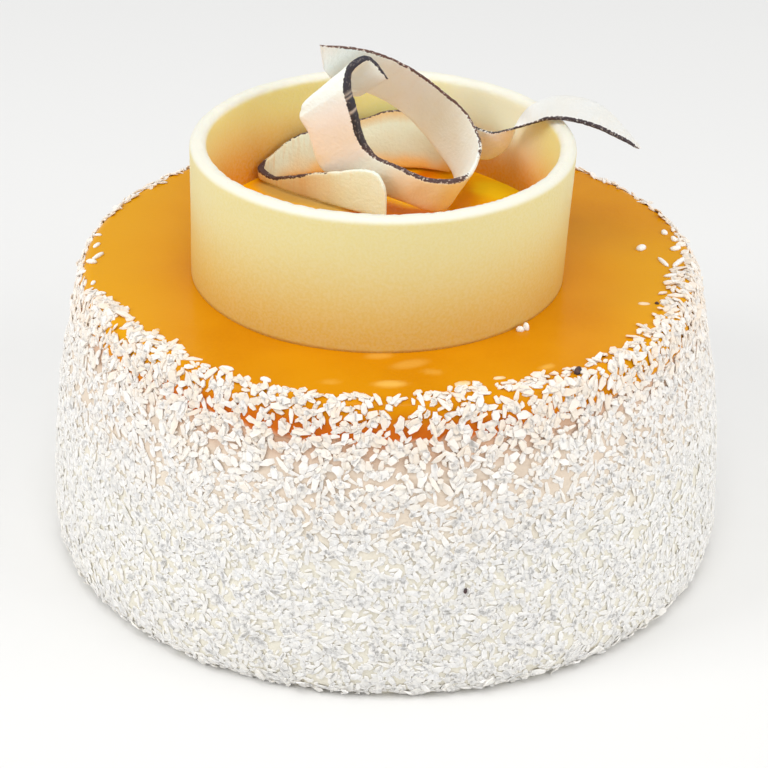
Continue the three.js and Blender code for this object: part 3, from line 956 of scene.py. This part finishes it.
class CAKE_OT_fruit_glaze(Operator):
    """Builds the poured glaze, with a rounded edge and a thin run over the shoulder"""

    bl_idname = "cake.fruit_glaze"
    bl_label = "Fruit glaze"

    def execute(self, context):
        sizes = cake_sizes()
        shoulder = rings_of(np.array([(sizes.shoulder_radius, 0.0)]), COAT_SEGMENTS)
        uneven = 1 + grain(shoulder, 9 * MM, seed=5.0, depth=0.48)
        uneven += grain(shoulder, 3 * MM, seed=9.0, depth=0.76)
        depth = np.maximum(run_depth(shoulder, sizes) * uneven, SHORTEST_RUN)[0]
        steps = len(RUN_STEPS)
        hidden = run_rings(RUN_STEPS[::-1], np.full(steps, -RUN_UNDER_IN), depth, sizes)
        run = run_rings(RUN_STEPS, [-RUN_TOE_IN] + [RUN_OUT] * (steps - 1), depth, sizes)
        under = rings_of(disc_profile(sizes.shoulder_radius, sizes.body_height, 8, 0.1, 0.96), COAT_SEGMENTS)
        flat = disc_profile(sizes.glaze_flat_radius, sizes.glaze_top, 80, 0.99, 0.02)
        top = rings_of(np.vstack([glaze_edge_profile(sizes, 18), flat]), COAT_SEGMENTS)
        inside = smoothstep(0, TOP_LEVEL, sizes.shoulder_radius - radius_of(top))
        shown = sunk_share(top) * (top[..., 2] > sizes.body_height + EDGE_CLEAR)
        top[..., 2] += inside * (grain(top, 16 * MM, seed=2.0, depth=0.1 * MM) + SUNK_RISE * shown)
        rings = np.concatenate([under, hidden, run, top])
        piece = turned_object("poured_glaze", fuller(rings))
        sunk, run_end = np.zeros(rings.shape[:2]), np.zeros(rings.shape[:2])
        before = len(rings) - len(top)
        sunk[before:] = shown
        run_end[before - steps:before] = RUN_STEPS[:, None]
        runny = run_depth(rings, sizes) / (LONGEST_RUN * sizes.glaze_run)
        # "thin" holds the painted side light and the ring's painted shadow on the glaze.
        kept = {"sunk": sunk, "run_end": run_end, "thin": side_light_share(rings), "runny": runny}
        point_values(piece, kept, ends=(0.0, 0.0))
        settle(piece, "glaze", "fruit_glaze", finish=glaze_finish(cake_colours(), sizes))
        return {"FINISHED"}


LAID_FLAKES = {
    "loose_flakes": (
        Flake(-51.5, 46.1, (0.9, 0.7, 1.0), 30),
        Flake(-49.7, 46.4, (0.8, 0.7, 1.5), 70),
        Flake(5.6, 58.5, (1.5, 1.0, 0.9), 35),
        Flake(12.6, 65.9, (1.2, 0.8, 0.7), -6),
        Flake(9.4, 67.1, (1.3, 0.7, 0.7), -9),
        Flake(5.1, 66.4, (1.5, 0.9, 0.7), 56),
        Flake(-1.2, 62.6, (2.6, 0.6, 0.6), -25),
        Flake(-1.0, 66.3, (3.2, 0.7, 0.7), 31),
        Flake(-7.3, 64.5, (2.1, 0.6, 0.6), 67),
        Flake(-10.3, 64.6, (2.1, 0.6, 0.6), 71),
        Flake(-139.7, 65.0, (1.6, 1.1, 0.7), 60),
        Flake(-120.6, 64.6, (1.7, 1.0, 0.5), -20),
        Flake(-112.2, 64.9, (1.4, 0.9, 0.5), 10),
        Flake(173.3, 67.1, (0.9, 0.5, 0.4), 75),
        Flake(178.0, 66.4, (1.5, 0.6, 0.4), 15),
        Flake(-177.0, 65.5, (2.3, 0.6, 0.6), 30),
        Flake(-174.4, 66.8, (1.3, 0.7, 0.8), 100),
        Flake(-165.4, 67.1, (1.1, 0.5, 0.4), 20),
        Flake(-160.6, 66.4, (1.2, 0.6, 0.5), 100),
    ),
    "soaked_flakes": (
        Flake(-75.2, 62.4, (1.9, 1.2, 0.35), -20),
        Flake(-67.7, 62.2, (1.4, 0.7, 0.3), 5),
        Flake(-141.0, 63.0, (1.5, 0.7, 0.3), 50),
        Flake(-21.6, 60.7, (1.4, 0.7, 0.3), 65),
    ),
    "skin_bits": (
        Flake(-53.6, 67.4, (1.4, 0.8, 1.1), -35),
        Flake(-20.5, 63.3, (0.5, 0.4, 0.5), 80),
        Flake(-77.0, 77.6, (0.7, 0.4, 0.5), 70, height=27.5),
    ),
}
FLAKE_OUTLINE = (
    (1.0, 0.15), (0.7, 0.8), (0.05, 1.0), (-0.72, 0.7),
    (-1.0, -0.05), (-0.75, -0.85), (-0.1, -1.0), (0.68, -0.6),
)
FLAKE_LAYERS = ((0.6, -0.3), (1.0, 0.1), (0.92, 0.6), (0.5, 1.0))


def laid_flakes(name, flakes, sizes):
    """Small flakes laid one by one on the glaze or on the side of the coat, as one mesh."""
    points, faces = [], []
    for flake in flakes:
        angle, turn = math.radians(flake.angle), math.radians(flake.turn)
        outward = np.array((math.cos(angle), math.sin(angle), 0.0))
        round_way, up = np.array((-outward[1], outward[0], 0.0)), np.array((0.0, 0.0, 1.0))
        on_side = flake.height is not None
        flat_way, out_way = (up, outward) if on_side else (outward, up)
        centre = flake.radius * MM * outward
        centre[2] = flake.height * MM if on_side else sizes.glaze_top
        along = math.cos(turn) * round_way + math.sin(turn) * flat_way
        across = math.cos(turn) * flat_way - math.sin(turn) * round_way
        half = np.array(flake.size) * MM
        faces += lofted_faces(len(FLAKE_LAYERS), len(FLAKE_OUTLINE), first=len(points))
        for share, rise in FLAKE_LAYERS:
            for x, y in FLAKE_OUTLINE:
                spread = share * (half[0] * x * along + half[1] * y * across)
                points.append(centre + spread + rise * half[2] * out_way)
    return new_object(name, points, faces)


class CAKE_OT_laid_flakes(Operator):
    """Lays the single flakes and bits of skin that have come to rest on the glaze and the side"""

    bl_idname = "cake.laid_flakes"
    bl_label = "Laid flakes"

    def execute(self, context):
        colours = cake_colours()
        finishes = {
            "loose_flakes": flake_finish(colours),
            "soaked_flakes": soaked_flake_finish(colours),
            "skin_bits": skin_bit_finish(colours),
        }
        for name, flakes in LAID_FLAKES.items():
            piece = laid_flakes(name, flakes, cake_sizes())
            settle(piece, "coconut_coat", finish=finishes[name])
        return {"FINISHED"}


# The ring and its filling

RING_SEGMENTS = 288
RING_FOOT_X = -2.2 * MM
RING_Y = (RING_LOW.y + RING_HIGH.y) / 2
RING_LEAN = 0.96 * MM
RING_SUNK = 0.15 * MM
RIM_BEVEL = 1.5 * MM
RIM_ROUGH = 2.0 * MM
INSIDE_START, INSIDE_FULL = mm(-1.0, -2.6)
CRUMB_LEAST = 0.1
CRUMB_IN, CRUMB_DOWN = mm(0.3, 0.25)
# Painted light: how high the filling's orange glow is painted up the inside wall, higher towards the left and
# right, more so on the left.
GLOW_REACH, GLOW_SIDES, GLOW_LEAN = mm(14, 6, 3)
# Painted light: where the back right of the ring's inside is painted paler, as lit by the key light.
FAR_START, FAR_FULL, FAR_FADE, FAR_END = 0.1, 0.5, 0.84, 0.98


def ring_share(sizes, height):
    """From 0 to 1, how far up the ring a height lies."""
    return (height - sizes.glaze_top) / (sizes.ring_rim - sizes.glaze_top)


def ring_radius(sizes, height):
    """The outer radius of the ring at a height."""
    flare = sizes.ring_rim_radius - sizes.ring_foot_radius
    return sizes.ring_foot_radius + ring_share(sizes, height) * flare


def onto_ring_axis(rings, sizes):
    """Moves turned rings onto the ring's axis, which leans towards +X as it rises."""
    rings[..., 0] += RING_FOOT_X + RING_LEAN * ring_share(sizes, rings[..., 2])
    rings[..., 1] += RING_Y
    return rings


def ring_profile(sizes):
    """The closed outline of the ring's wall: up its outside, over its rounded rim, down its inside."""
    heights = np.linspace(sizes.glaze_top - RING_SUNK, sizes.ring_rim - RIM_BEVEL, 34)
    outer = np.column_stack([ring_radius(sizes, heights), heights])
    inner = outer[::-1] - (sizes.ring_wall, 0.0)
    turn = np.linspace(0, math.pi / 2, 6)[1:, None]
    corner = np.hstack([np.cos(turn) - 1, np.sin(turn)]) * RIM_BEVEL
    outer_round = outer[-1] + corner
    inner_round = (inner[0] + corner * (-1.0, 1.0))[::-1]
    rim = np.linspace(outer_round[-1], inner_round[0], 7)[1:-1]
    foot = np.linspace(inner[-1], outer[0], 4)[1:-1]
    return np.vstack([outer, outer_round, rim, inner_round, inner, foot])


class CAKE_OT_chocolate_ring(Operator):
    """Builds the white chocolate ring, with a soft rim that is crumbly inside"""

    bl_idname = "cake.chocolate_ring"
    bl_label = "Chocolate ring"

    def execute(self, context):
        sizes = cake_sizes()
        profile = ring_profile(sizes)
        rings = rings_of(profile, RING_SEGMENTS)
        outward = outward_of(rings)
        near_rim = smoothstep(sizes.ring_rim - RIM_ROUGH, sizes.ring_rim, rings[..., 2])
        from_outside = (profile[:, 0] - ring_radius(sizes, profile[:, 1]))[:, None]
        inside = np.broadcast_to(smoothstep(INSIDE_START, INSIDE_FULL, from_outside), rings.shape[:2])
        crumb = np.maximum(grain(rings, 1.3 * MM, seed=4.0), -CRUMB_LEAST) + CRUMB_LEAST
        rings += outward * grain(rings, 14 * MM, seed=8.0, depth=0.12 * MM)[..., None]
        rings += outward * (CRUMB_IN * crumb * near_rim * inside)[..., None]
        uneven = grain(rings, 4 * MM, seed=6.0, depth=0.12 * MM)
        rings[..., 2] += near_rim * (uneven - CRUMB_DOWN * crumb * inside)
        rightward = outward[..., 0]
        # Painted light: the filling's orange glow on the inside wall.
        glow_top = sizes.filling_top + GLOW_REACH + GLOW_SIDES * rightward**2 - GLOW_LEAN * rightward
        glow = inside * smoothstep(glow_top, sizes.filling_top, rings[..., 2])
        # Painted light at the back right of the inside wall.
        far = smoothstep(FAR_START, FAR_FULL, rightward) * smoothstep(FAR_END, FAR_FADE, rightward)
        piece = turned_object("chocolate_ring", onto_ring_axis(rings, sizes), closed=True)
        point_values(piece, {"inside": inside, "glow": glow, "far": far})
        finish = chocolate_finish(cake_colours(), sizes)
        settle(piece, "white_chocolate", "white_chocolate_ring", finish=finish)
        return {"FINISHED"}


FILLING_SUNK = 0.1 * MM
FILLING_INTO_WALL = 0.4 * MM
POOL_ROWS = 50
POOL_DROP = 0.2 * MM
# Painted light: a pool of light painted on the filling at the back right.
LIT_PATCH_CENTRE, LIT_PATCH_REACH = mm(26.5, 15.5), 9 * MM
LIT_PATCH_SHARE, LIT_PATCH_CORE = 0.9, 0.4
# Painted shade: reaches of the darker filling by the loop and the fold's back leg; FRONT_SHADE is the reach
# of the flesh seen through the filling.
LOOP_SHADE, LEG_SHADE, FRONT_SHADE = mm(8, 6, 5)
LOOP_SHADE_LESS, LOOP_SHADE_ACROSS = 0.6, mm(8, 15)
LEG_SHADE_SHARE = 0.35
SHADE_CORE = 0.45


def near_share(rings, line, reach):
    """From 0 to 1, how close each point lies to a line seen from above, with ragged limits."""
    places = smooth_curve(line, 60)[:, :2] * MM
    flat = rings[..., None, :2] - places
    distance = np.linalg.norm(flat, axis=3).min(2) + grain(rings, 5 * MM, seed=31.0, depth=1.2 * MM)
    return smoothstep(reach, SHADE_CORE * reach, distance)


def filling_masks(rings, sizes):
    """Where a pool of light is painted on the filling, where shade is painted by a ribbon, and where a ribbon
    shows through it.
    """
    distance = np.linalg.norm(rings[..., :2] - LIT_PATCH_CENTRE, axis=2)
    ragged = distance + grain(rings, 4 * MM, seed=14.0, depth=2 * MM)
    yellow_and_lit = smoothstep(LIT_PATCH_REACH, LIT_PATCH_CORE * LIT_PATCH_REACH, ragged)
    fold_foot = fold_edges(sizes)[1]
    loop_near = near_share(rings, LOOP_PALE[7:14], LOOP_SHADE)
    loop_near *= 1 - LOOP_SHADE_LESS * smoothstep(*LOOP_SHADE_ACROSS, rings[..., 0])
    leg_near = near_share(rings, fold_foot[9:], LEG_SHADE)
    front_near = near_share(rings, fold_foot[1:8], FRONT_SHADE)
    return {
        "yellow_and_lit": LIT_PATCH_SHARE * yellow_and_lit,
        # "deep" holds painted shade by the ribbons.
        "deep": np.maximum(loop_near, LEG_SHADE_SHARE * leg_near) * (1 - yellow_and_lit),
        "flesh": front_near * (1 - loop_near),
    }


class CAKE_OT_fruit_filling(Operator):
    """Builds the glossy filling that lies inside the ring"""

    bl_idname = "cake.fruit_filling"
    bl_label = "Fruit filling"

    def execute(self, context):
        sizes = cake_sizes()
        low, top = sizes.glaze_top - FILLING_SUNK, sizes.filling_top
        reach = sizes.ring_foot_radius - sizes.ring_wall + FILLING_INTO_WALL
        surface = disc_profile(reach, top, POOL_ROWS, 0.995, 0.03)
        under = surface[::-7] * (1.0, 0.0) + (0.0, low)
        wall = np.column_stack([np.full(6, reach), np.linspace(low, top, 6)])
        rings = rings_of(np.vstack([under, wall, surface]), RING_SEGMENTS // 2)
        pool = rings[-POOL_ROWS:]
        pool[..., 2] += grain(pool, 9 * MM, seed=12.0, depth=0.28 * MM) - POOL_DROP
        piece = turned_object("filling_pool", onto_ring_axis(rings, sizes))
        point_values(piece, filling_masks(rings, sizes), ends=(0.0, 0.0))
        settle(piece, "filling", "fruit_filling", finish=filling_finish(cake_colours()))
        return {"FINISHED"}


# The coconut ribbons: points in millimetres, and tables of a share along the ribbon and a value there

LOOP_SKIN = (
    (-0.5, 8.5, 107.4), (-4.8, 9.5, 111.9), (-8.5, 6, 111), (-9.1, 4.5, 107.4), (-7.8, 4, 102.1),
    (-5.6, 4.5, 93.8), (-3.4, 3.5, 91.1), (1.6, 0, 90.1), (8.7, -4, 88.8), (14.5, -4.5, 88.8),
    (17.6, -2, 89), (20, 5.5, 89.9), (20.6, 11.5, 91.4), (17.4, 17, 96.1), (10.6, 18, 101.9),
    (4.1, 16.5, 107.1), (-4.9, 13, 112.2), (-15.7, 7, 115.7),
)
LOOP_PALE = (
    (-6.8, 13.3, 101.2), (-15.3, 11.4, 101.4), (-19.4, 7.4, 100.7), (-20.1, 7.6, 98.6), (-18.3, 7.4, 95.3),
    (-15.4, 8.6, 86), (-11.5, 8.1, 82.8), (-4.6, 3.9, 82.5), (3.6, -0.3, 81.6), (9.4, -0.9, 79.8),
    (12.4, 0.7, 79.2), (14.1, 8.8, 79.5), (15.1, 15.1, 80.9), (10.4, 21, 85.9), (4.2, 23.7, 92.1),
    (-2.3, 22.1, 97.3), (-12.1, 16.6, 103.2), (-14.8, 9.8, 108.7),
)
FOLD_FRONT = (
    (-0.4, -3.4, 82.5), (-1, -3, 86.6), (-2.8, -1.9, 89), (-5.6, -0.2, 89.1), (-10.9, 3.1, 87.1),
    (-17.3, 7.4, 84.6), (-22.5, 11, 82.3), (-26.8, 15, 80.4),
)
FOLD_WALL_RADIUS = 36.6
FOLD_WALL = (
    (139.5, 81.4, 0), (133, 83.6, 2.5), (124, 86.1, 4.5), (112, 87.2, 6),
    (98, 88.4, 6), (88, 90.6, 5), (76, 91.3, 4), (64, 91.5, 3.5),
)
FOLD_FOOT_CLEAR = 0.5
ARCH_SKIN = (
    (18.9, 19, 92.1), (23, 15, 92.3), (25.9, 11.6, 94.2), (28.9, 7.9, 96.6), (32, 5.5, 98.6),
    (35.2, 3.7, 100.5), (38.9, 3, 100.8), (44.4, -0.5, 101), (50.9, -5.5, 99.9), (54.4, -8.5, 98.9),
)
ARCH_PALE = (
    (19.8, 22, 82.4), (24, 19, 84.2), (27.4, 16.4, 88.4), (29.2, 14, 95.6), (31.4, 11.2, 100.2),
    (36.6, 14.2, 101.5), (41.7, 13.7, 101.8), (47.2, 10, 101.4), (52.5, -1.5, 99.9), (55, -7.6, 98.8),
)
RIBBONS = {
    "coconut_loop": {
        "name": "loop_ribbon", "flesh": "loop_light_toned_flesh", "soak_rise": 19 * MM,
        "thickness": (
            (0, 0.5), (0.05, 1.2), (0.09, 1.6), (0.14, 1.9), (0.18, 2.9), (0.27, 3.0),
            (0.31, 2.2), (0.36, 1.5), (0.55, 1.4), (0.63, 0.9), (0.75, 0.8), (1, 0.6),
        ),
        "skin_reach": (
            (0, 0.3), (0.06, 0.4), (0.1, 0.6), (0.15, 1.1), (0.26, 1.1), (0.3, 0.6), (0.35, 0.3), (0.55, 0.3),
            (0.58, 0.05), (0.62, -0.3), (0.66, 0.05), (0.74, 0.15), (0.8, 0.35), (0.9, 0.3), (1, 0.25),
        ),
        "slate": ((0, 0.8), (0.06, 1), (0.27, 1), (0.33, 0.3), (0.6, 0.2), (0.75, 0)),
        "fibrous": ((0, 0.1), (1, 0.1)),
        "chip": (
            (0.19, 0), (0.194, 0.8), (0.198, 0), (0.2, 0), (0.204, 0.7), (0.208, 0),
            (0.233, 0), (0.237, 0.95), (0.241, 0),
        ),
        # Painted light on the loop's front.
        "lit_share": ((0.18, 0), (0.23, 1), (0.32, 1), (0.36, 0)),
        "blush": ((0, 0), (0.1, 0.1), (0.15, 0.1), (0.2, 0), (0.7, 0), (0.75, 0.3), (0.79, 0.3), (0.84, 0)),
        "dip": ((0.36, 0), (0.42, 0.35), (0.48, 0.35), (0.54, 0.1), (0.8, 0.1), (0.85, 0)),
        "soaking": (
            (0.29, 0), (0.33, 0.35), (0.37, 0.55), (0.42, 0.8), (0.47, 0.77), (0.53, 0.3), (0.62, 0.15),
            (0.75, 0.1), (0.9, 0),
        ),
    },
    "coconut_fold": {
        "name": "fold_ribbon", "flesh": "fold_light_toned_flesh", "soak_rise": 18 * MM,
        "thickness": ((0, 0.8), (0.2, 1.1), (0.44, 1.3), (0.5, 1.7), (0.56, 1.4), (0.7, 1.2), (1, 1.0)),
        "skin_reach": (
            (0, -0.8), (0.27, -0.6), (0.3, 0.1), (0.33, -0.1), (0.36, 0.5),
            (0.54, 0.6), (0.58, -0.2), (0.64, 0.0), (0.7, 0.3), (1, 0.4),
        ),
        "slate": ((0, 0.3), (1, 0.3)),
        "fibrous": ((0, 0.1), (0.3, 0.25), (0.5, 0.8), (0.65, 0.8), (0.75, 0.3), (1, 0.2)),
        "seep": ((0.72, 0), (0.8, 0.7), (0.92, 0.7), (1, 0.3)),
        "dip": ((0.36, 0), (0.4, 0.1), (0.6, 0.2), (0.7, 0.65), (1, 0.75)),
        "soaking": ((0.15, 0), (0.24, 0.1), (0.36, 0.65), (0.43, 0.3), (0.6, 0.3), (0.7, 0.4), (1, 0.45)),
    },
    "coconut_arch": {
        "name": "arch_ribbon", "flesh": "arch_shaded_flesh", "soak_rise": 10 * MM,
        "thickness": ((0, 0.6), (0.3, 0.55), (0.45, 0.6), (0.55, 0.9), (0.75, 1.15), (0.9, 1.0), (1, 0.5)),
        "skin_reach": ((0, 0.25), (0.08, 0.1), (0.14, 0.2), (0.5, 0.2), (0.7, 0.25), (1, 0.25)),
        "slate": ((0, 0.6), (1, 0.6)),
        "fibrous": ((0, 0.1), (1, 0.15)),
        # Painted light on the arch's low end, which lies in shade.
        "lit_share": ((0.32, 1), (0.42, 0)),
    },
}
NOWHERE = ((0, 0), (1, 0))
RIBBON_STEPS = 220
RIBBON_STRIPS = 16
PALE_THINNING, PALE_ROUND, SKIN_ROUND = mm(2.5, 0.3, 0.35)
END_THINNEST, END_LENGTH = 0.35, 0.02
SKIN_NOSE, PALE_NOSE = 0.3, 0.5
SKIN_BUMP_REACH = 0.5 * MM
FIBRE_STRETCH = 0.12
SEEP_REACH = 4.5 * MM
DIP_FULL, DIP_RISE = mm(0.5, 5)


def fold_edges(sizes):
    """Both edges of the folded ribbon: free in front, then leaning on the inside of the ring's wall."""
    centre = ((RING_FOOT_X + 0.5 * RING_LEAN) / MM, RING_Y / MM)
    foot = sizes.filling_top / MM + FOLD_FOOT_CLEAR
    skin, pale = list(FOLD_FRONT), [(x, y, foot) for x, y, z in FOLD_FRONT]
    for degrees, top, lean in FOLD_WALL:
        angle = math.radians(degrees)
        x, y = (c + FOLD_WALL_RADIUS * turn for c, turn in zip(centre, (math.cos(angle), math.sin(angle))))
        skin.append((x, y, top))
        pale.append((x, y - lean, foot))
    return skin, pale


def edge_round(distance, rounding, least):
    """1 well inside an edge, falling to the least share at the edge itself."""
    share = np.clip(distance / rounding, 0, 1)
    return least + (1 - least) * np.sqrt(1 - (1 - share) ** 2)


def ribbon_surface(edges, thickness):
    """Loops of points round a thin ribbon with blunt rounded edges, their distances from its skin edge,
    and how far along that edge each loop lies."""
    steps = np.linspace(0, 1, RIBBON_STEPS + 1)
    across = (1 - np.cos(np.linspace(0, math.pi, RIBBON_STRIPS + 1))) / 2
    skin, pale = (smooth_curve(points, RIBBON_STEPS + 1) * MM for points in edges)
    middle = skin[:, None] + (pale - skin)[:, None] * across[None, :, None]
    lengthwise = np.gradient(middle, axis=0)
    crosswise = np.gradient(middle, across, axis=1)
    normal = np.cross(lengthwise, crosswise)
    normal /= np.linalg.norm(normal, axis=2, keepdims=True)
    outward = -crosswise / np.linalg.norm(crosswise, axis=2, keepdims=True)
    width = np.linalg.norm(pale - skin, axis=1)[:, None]
    from_skin, from_pale = width * across, width * (1 - across)
    half = 0.5 * MM * read_table(thickness, steps)[:, None] * edge_round(from_pale, PALE_THINNING, 0.45)
    half = half * edge_round(from_skin, SKIN_ROUND, 0.8) * edge_round(from_pale, PALE_ROUND, 0.5)
    from_end = np.minimum(steps, 1 - steps) / END_LENGTH
    half *= np.minimum(1.0, END_THINNEST + from_end * (1 - END_THINNEST))[:, None]
    middle = middle + normal * grain(middle, 3 * MM, seed=15.0, depth=0.08 * MM)[..., None]
    bumps = grain(middle, 0.9 * MM, seed=17.0, depth=0.22 * MM) * np.exp(-from_skin / SKIN_BUMP_REACH)
    upper = middle + normal * half[..., None] + outward * bumps[..., None]
    lower = middle - normal * half[..., None] + outward * bumps[..., None]
    centre = 0.5 * (upper + lower)
    skin_nose = centre[:, :1] + outward[:, :1] * (SKIN_NOSE * half[:, :1])[..., None]
    pale_nose = centre[:, -1:] - outward[:, -1:] * (PALE_NOSE * half[:, -1:])[..., None]
    loops = np.concatenate([skin_nose, upper, pale_nose, lower[:, ::-1]], axis=1)
    distance = np.concatenate([0 * width, from_skin, width, from_skin[:, ::-1]], axis=1)
    run = np.cumsum(np.linalg.norm(np.gradient(middle[:, 0], axis=0), axis=1))
    return loops, distance, run


def ribbon_values(ribbon, loops, distance, run):
    """The numbers that a ribbon's finish reads at each point."""
    steps = np.linspace(0, 1, RIBBON_STEPS + 1)

    def along(key):
        return read_table(ribbon.get(key, NOWHERE), steps)[:, None]

    height = loops[..., 2] + grain(loops, 4 * MM, seed=19.0, depth=1.5 * MM)
    soaked = along("soaking") * smoothstep(FILLING_TOP + ribbon["soak_rise"], FILLING_TOP, height)
    seeped = along("seep") * smoothstep(SEEP_REACH, 0.0, distance)
    return {
        "skin_distance": distance,
        "skin_reach": MM * along("skin_reach"),
        "run": run[:, None],
        "fibre": FIBRE_STRETCH * distance,
        "soak": np.maximum(soaked, seeped),
        "dip": along("dip") * smoothstep(FILLING_TOP + DIP_RISE, FILLING_TOP + DIP_FULL, height),
        **{key: along(key) for key in ("slate", "fibrous", "chip", "lit_share", "blush")},
    }


class CAKE_OT_coconut_ribbons(Operator):
    """Builds the three shaved coconut ribbons, each with a dark skin along one edge"""

    bl_idname = "cake.coconut_ribbons"
    bl_label = "Coconut ribbons"

    def execute(self, context):
        colours = cake_colours()
        edges = {
            "coconut_loop": (LOOP_SKIN, LOOP_PALE),
            "coconut_fold": fold_edges(cake_sizes()),
            "coconut_arch": (ARCH_SKIN, ARCH_PALE),
        }
        for node, ribbon in RIBBONS.items():
            loops, distance, run = ribbon_surface(edges[node], ribbon["thickness"])
            piece = turned_object(ribbon["name"], loops)
            for key, rows in ribbon_values(ribbon, loops, distance, run).items():
                rows = np.broadcast_to(rows, loops.shape[:2])
                point_values(piece, {key: rows}, ends=(rows[0].mean(), rows[-1].mean()))
            flesh = getattr(colours, ribbon["flesh"])
            finish = ribbon_finish(ribbon["name"] + "_flesh", flesh, colours)
            settle(piece, "coconut_ribbon", node, finish=finish)
        return {"FINISHED"}


# The stage

FLOOR_HALF = 6.0
FLOOR_COLOUR = srgb(232, 232, 231)
FLOOR_DIM = 0.99
WORLD_STRENGTH = 0.69
CAMERA_ELEVATION = math.radians(28.78)
CAMERA_ROLL = math.radians(1.02)
CAMERA_TARGET = Vector((-0.22, 0.0, 34.58)) * MM
CAMERA_DISTANCE = 561.76 * MM
CAMERA_LENS = 112.5
CAMERA_SENSOR = 36.0
LIGHTS = {
    "key_light": {"place": (-1.0, -0.45, 0.75), "size": 0.6, "power": 5.3},
    "fill_light": {"place": (0.95, -0.4, 0.6), "size": 0.8, "power": 3.7},
    "top_light": {"place": (0.0, -0.5, 1.3), "size": 0.6, "power": 5.25},
}


def pale_floor():
    mesh = bpy.data.meshes.new("floor")
    corners = [(FLOOR_HALF * x, FLOOR_HALF * y, 0) for x, y in ((-1, -1), (1, -1), (1, 1), (-1, 1))]
    mesh.from_pydata(corners, [], [(0, 1, 2, 3)])
    finish = Finish("pale_floor", mottle=2.0, speckle=40.0, roughness=0.6, specular_ior_level=0.1)
    dim = tuple(FLOOR_DIM * c for c in FLOOR_COLOUR)
    mesh.materials.append(finish.paint(finish.blend(finish.mottle, FLOOR_COLOUR, dim)))
    return linked_object("floor", mesh)


def studio_light(scene):
    """An even white surround and three soft lights."""
    scene.world = bpy.data.worlds.new("studio")
    scene.world.use_nodes = True
    surround = scene.world.node_tree.nodes["Background"].inputs
    surround["Color"].default_value = (1.0, 1.0, 1.0, 1.0)
    surround["Strength"].default_value = WORLD_STRENGTH
    for name, light in LIGHTS.items():
        data = bpy.data.lights.new(name, "AREA")
        data.energy = light["power"]
        data.size = light["size"]
        lamp = linked_object(name, data)
        lamp.location = light["place"]
        lamp.rotation_mode = "QUATERNION"
        lamp.rotation_quaternion = (CAMERA_TARGET - lamp.location).to_track_quat("-Z", "Y")


def front_camera():
    """A camera in front of the cake that looks down on it."""
    data = bpy.data.cameras.new("camera")
    data.lens = CAMERA_LENS
    data.sensor_width = CAMERA_SENSOR
    data.sensor_fit = "HORIZONTAL"
    camera = linked_object("camera", data)
    back = Vector((0.0, -math.cos(CAMERA_ELEVATION), math.sin(CAMERA_ELEVATION)))
    turn = (-back).to_track_quat("-Z", "Y") @ Quaternion((0.0, 0.0, 1.0), CAMERA_ROLL)
    camera.matrix_world = Matrix.LocRotScale(CAMERA_TARGET + CAMERA_DISTANCE * back, turn, None)
    return camera


class CAKE_OT_stage(Operator):
    """Sets the floor, the soft studio light and the camera"""

    bl_idname = "cake.stage"
    bl_label = "Stage"

    def execute(self, context):
        scene = context.scene
        scene.view_settings.view_transform = "Standard"
        pale_floor()
        studio_light(scene)
        scene.camera = front_camera()
        return {"FINISHED"}


PIECES = (
    CAKE_OT_mousse_body,
    CAKE_OT_coconut_coat,
    CAKE_OT_fruit_glaze,
    CAKE_OT_laid_flakes,
    CAKE_OT_chocolate_ring,
    CAKE_OT_fruit_filling,
    CAKE_OT_coconut_ribbons,
    CAKE_OT_stage,
)


class CAKE_PT_pieces(Panel):
    """Lists the pieces of the cake, with its sizes and colours"""

    bl_label = "Coconut mousse cake"
    bl_idname = "CAKE_PT_pieces"
    bl_space_type = "VIEW_3D"
    bl_region_type = "UI"
    bl_category = "Cake"

    def draw(self, context):
        for piece in PIECES:
            self.layout.operator(piece.bl_idname)
        for group in (context.scene.cake_sizes, context.scene.cake_colours):
            box = self.layout.box()
            for key in group.bl_rna.properties.keys():
                if key not in ("rna_type", "name"):
                    box.prop(group, key)


CLASSES = (CakeSizes, CakeColours, *PIECES, CAKE_PT_pieces)


def register():
    for kind in CLASSES:
        bpy.utils.register_class(kind)
    bpy.types.Scene.cake_sizes = PointerProperty(type=CakeSizes)
    bpy.types.Scene.cake_colours = PointerProperty(type=CakeColours)


def unregister():
    del bpy.types.Scene.cake_colours
    del bpy.types.Scene.cake_sizes
    for kind in reversed(CLASSES):
        bpy.utils.unregister_class(kind)


def main():
    register()
    bpy.ops.cake.mousse_body()
    bpy.ops.cake.coconut_coat()
    bpy.ops.cake.fruit_glaze()
    bpy.ops.cake.laid_flakes()
    bpy.ops.cake.chocolate_ring()
    bpy.ops.cake.fruit_filling()
    bpy.ops.cake.coconut_ribbons()
    bpy.ops.cake.stage()


if __name__ == "__main__":
    main()
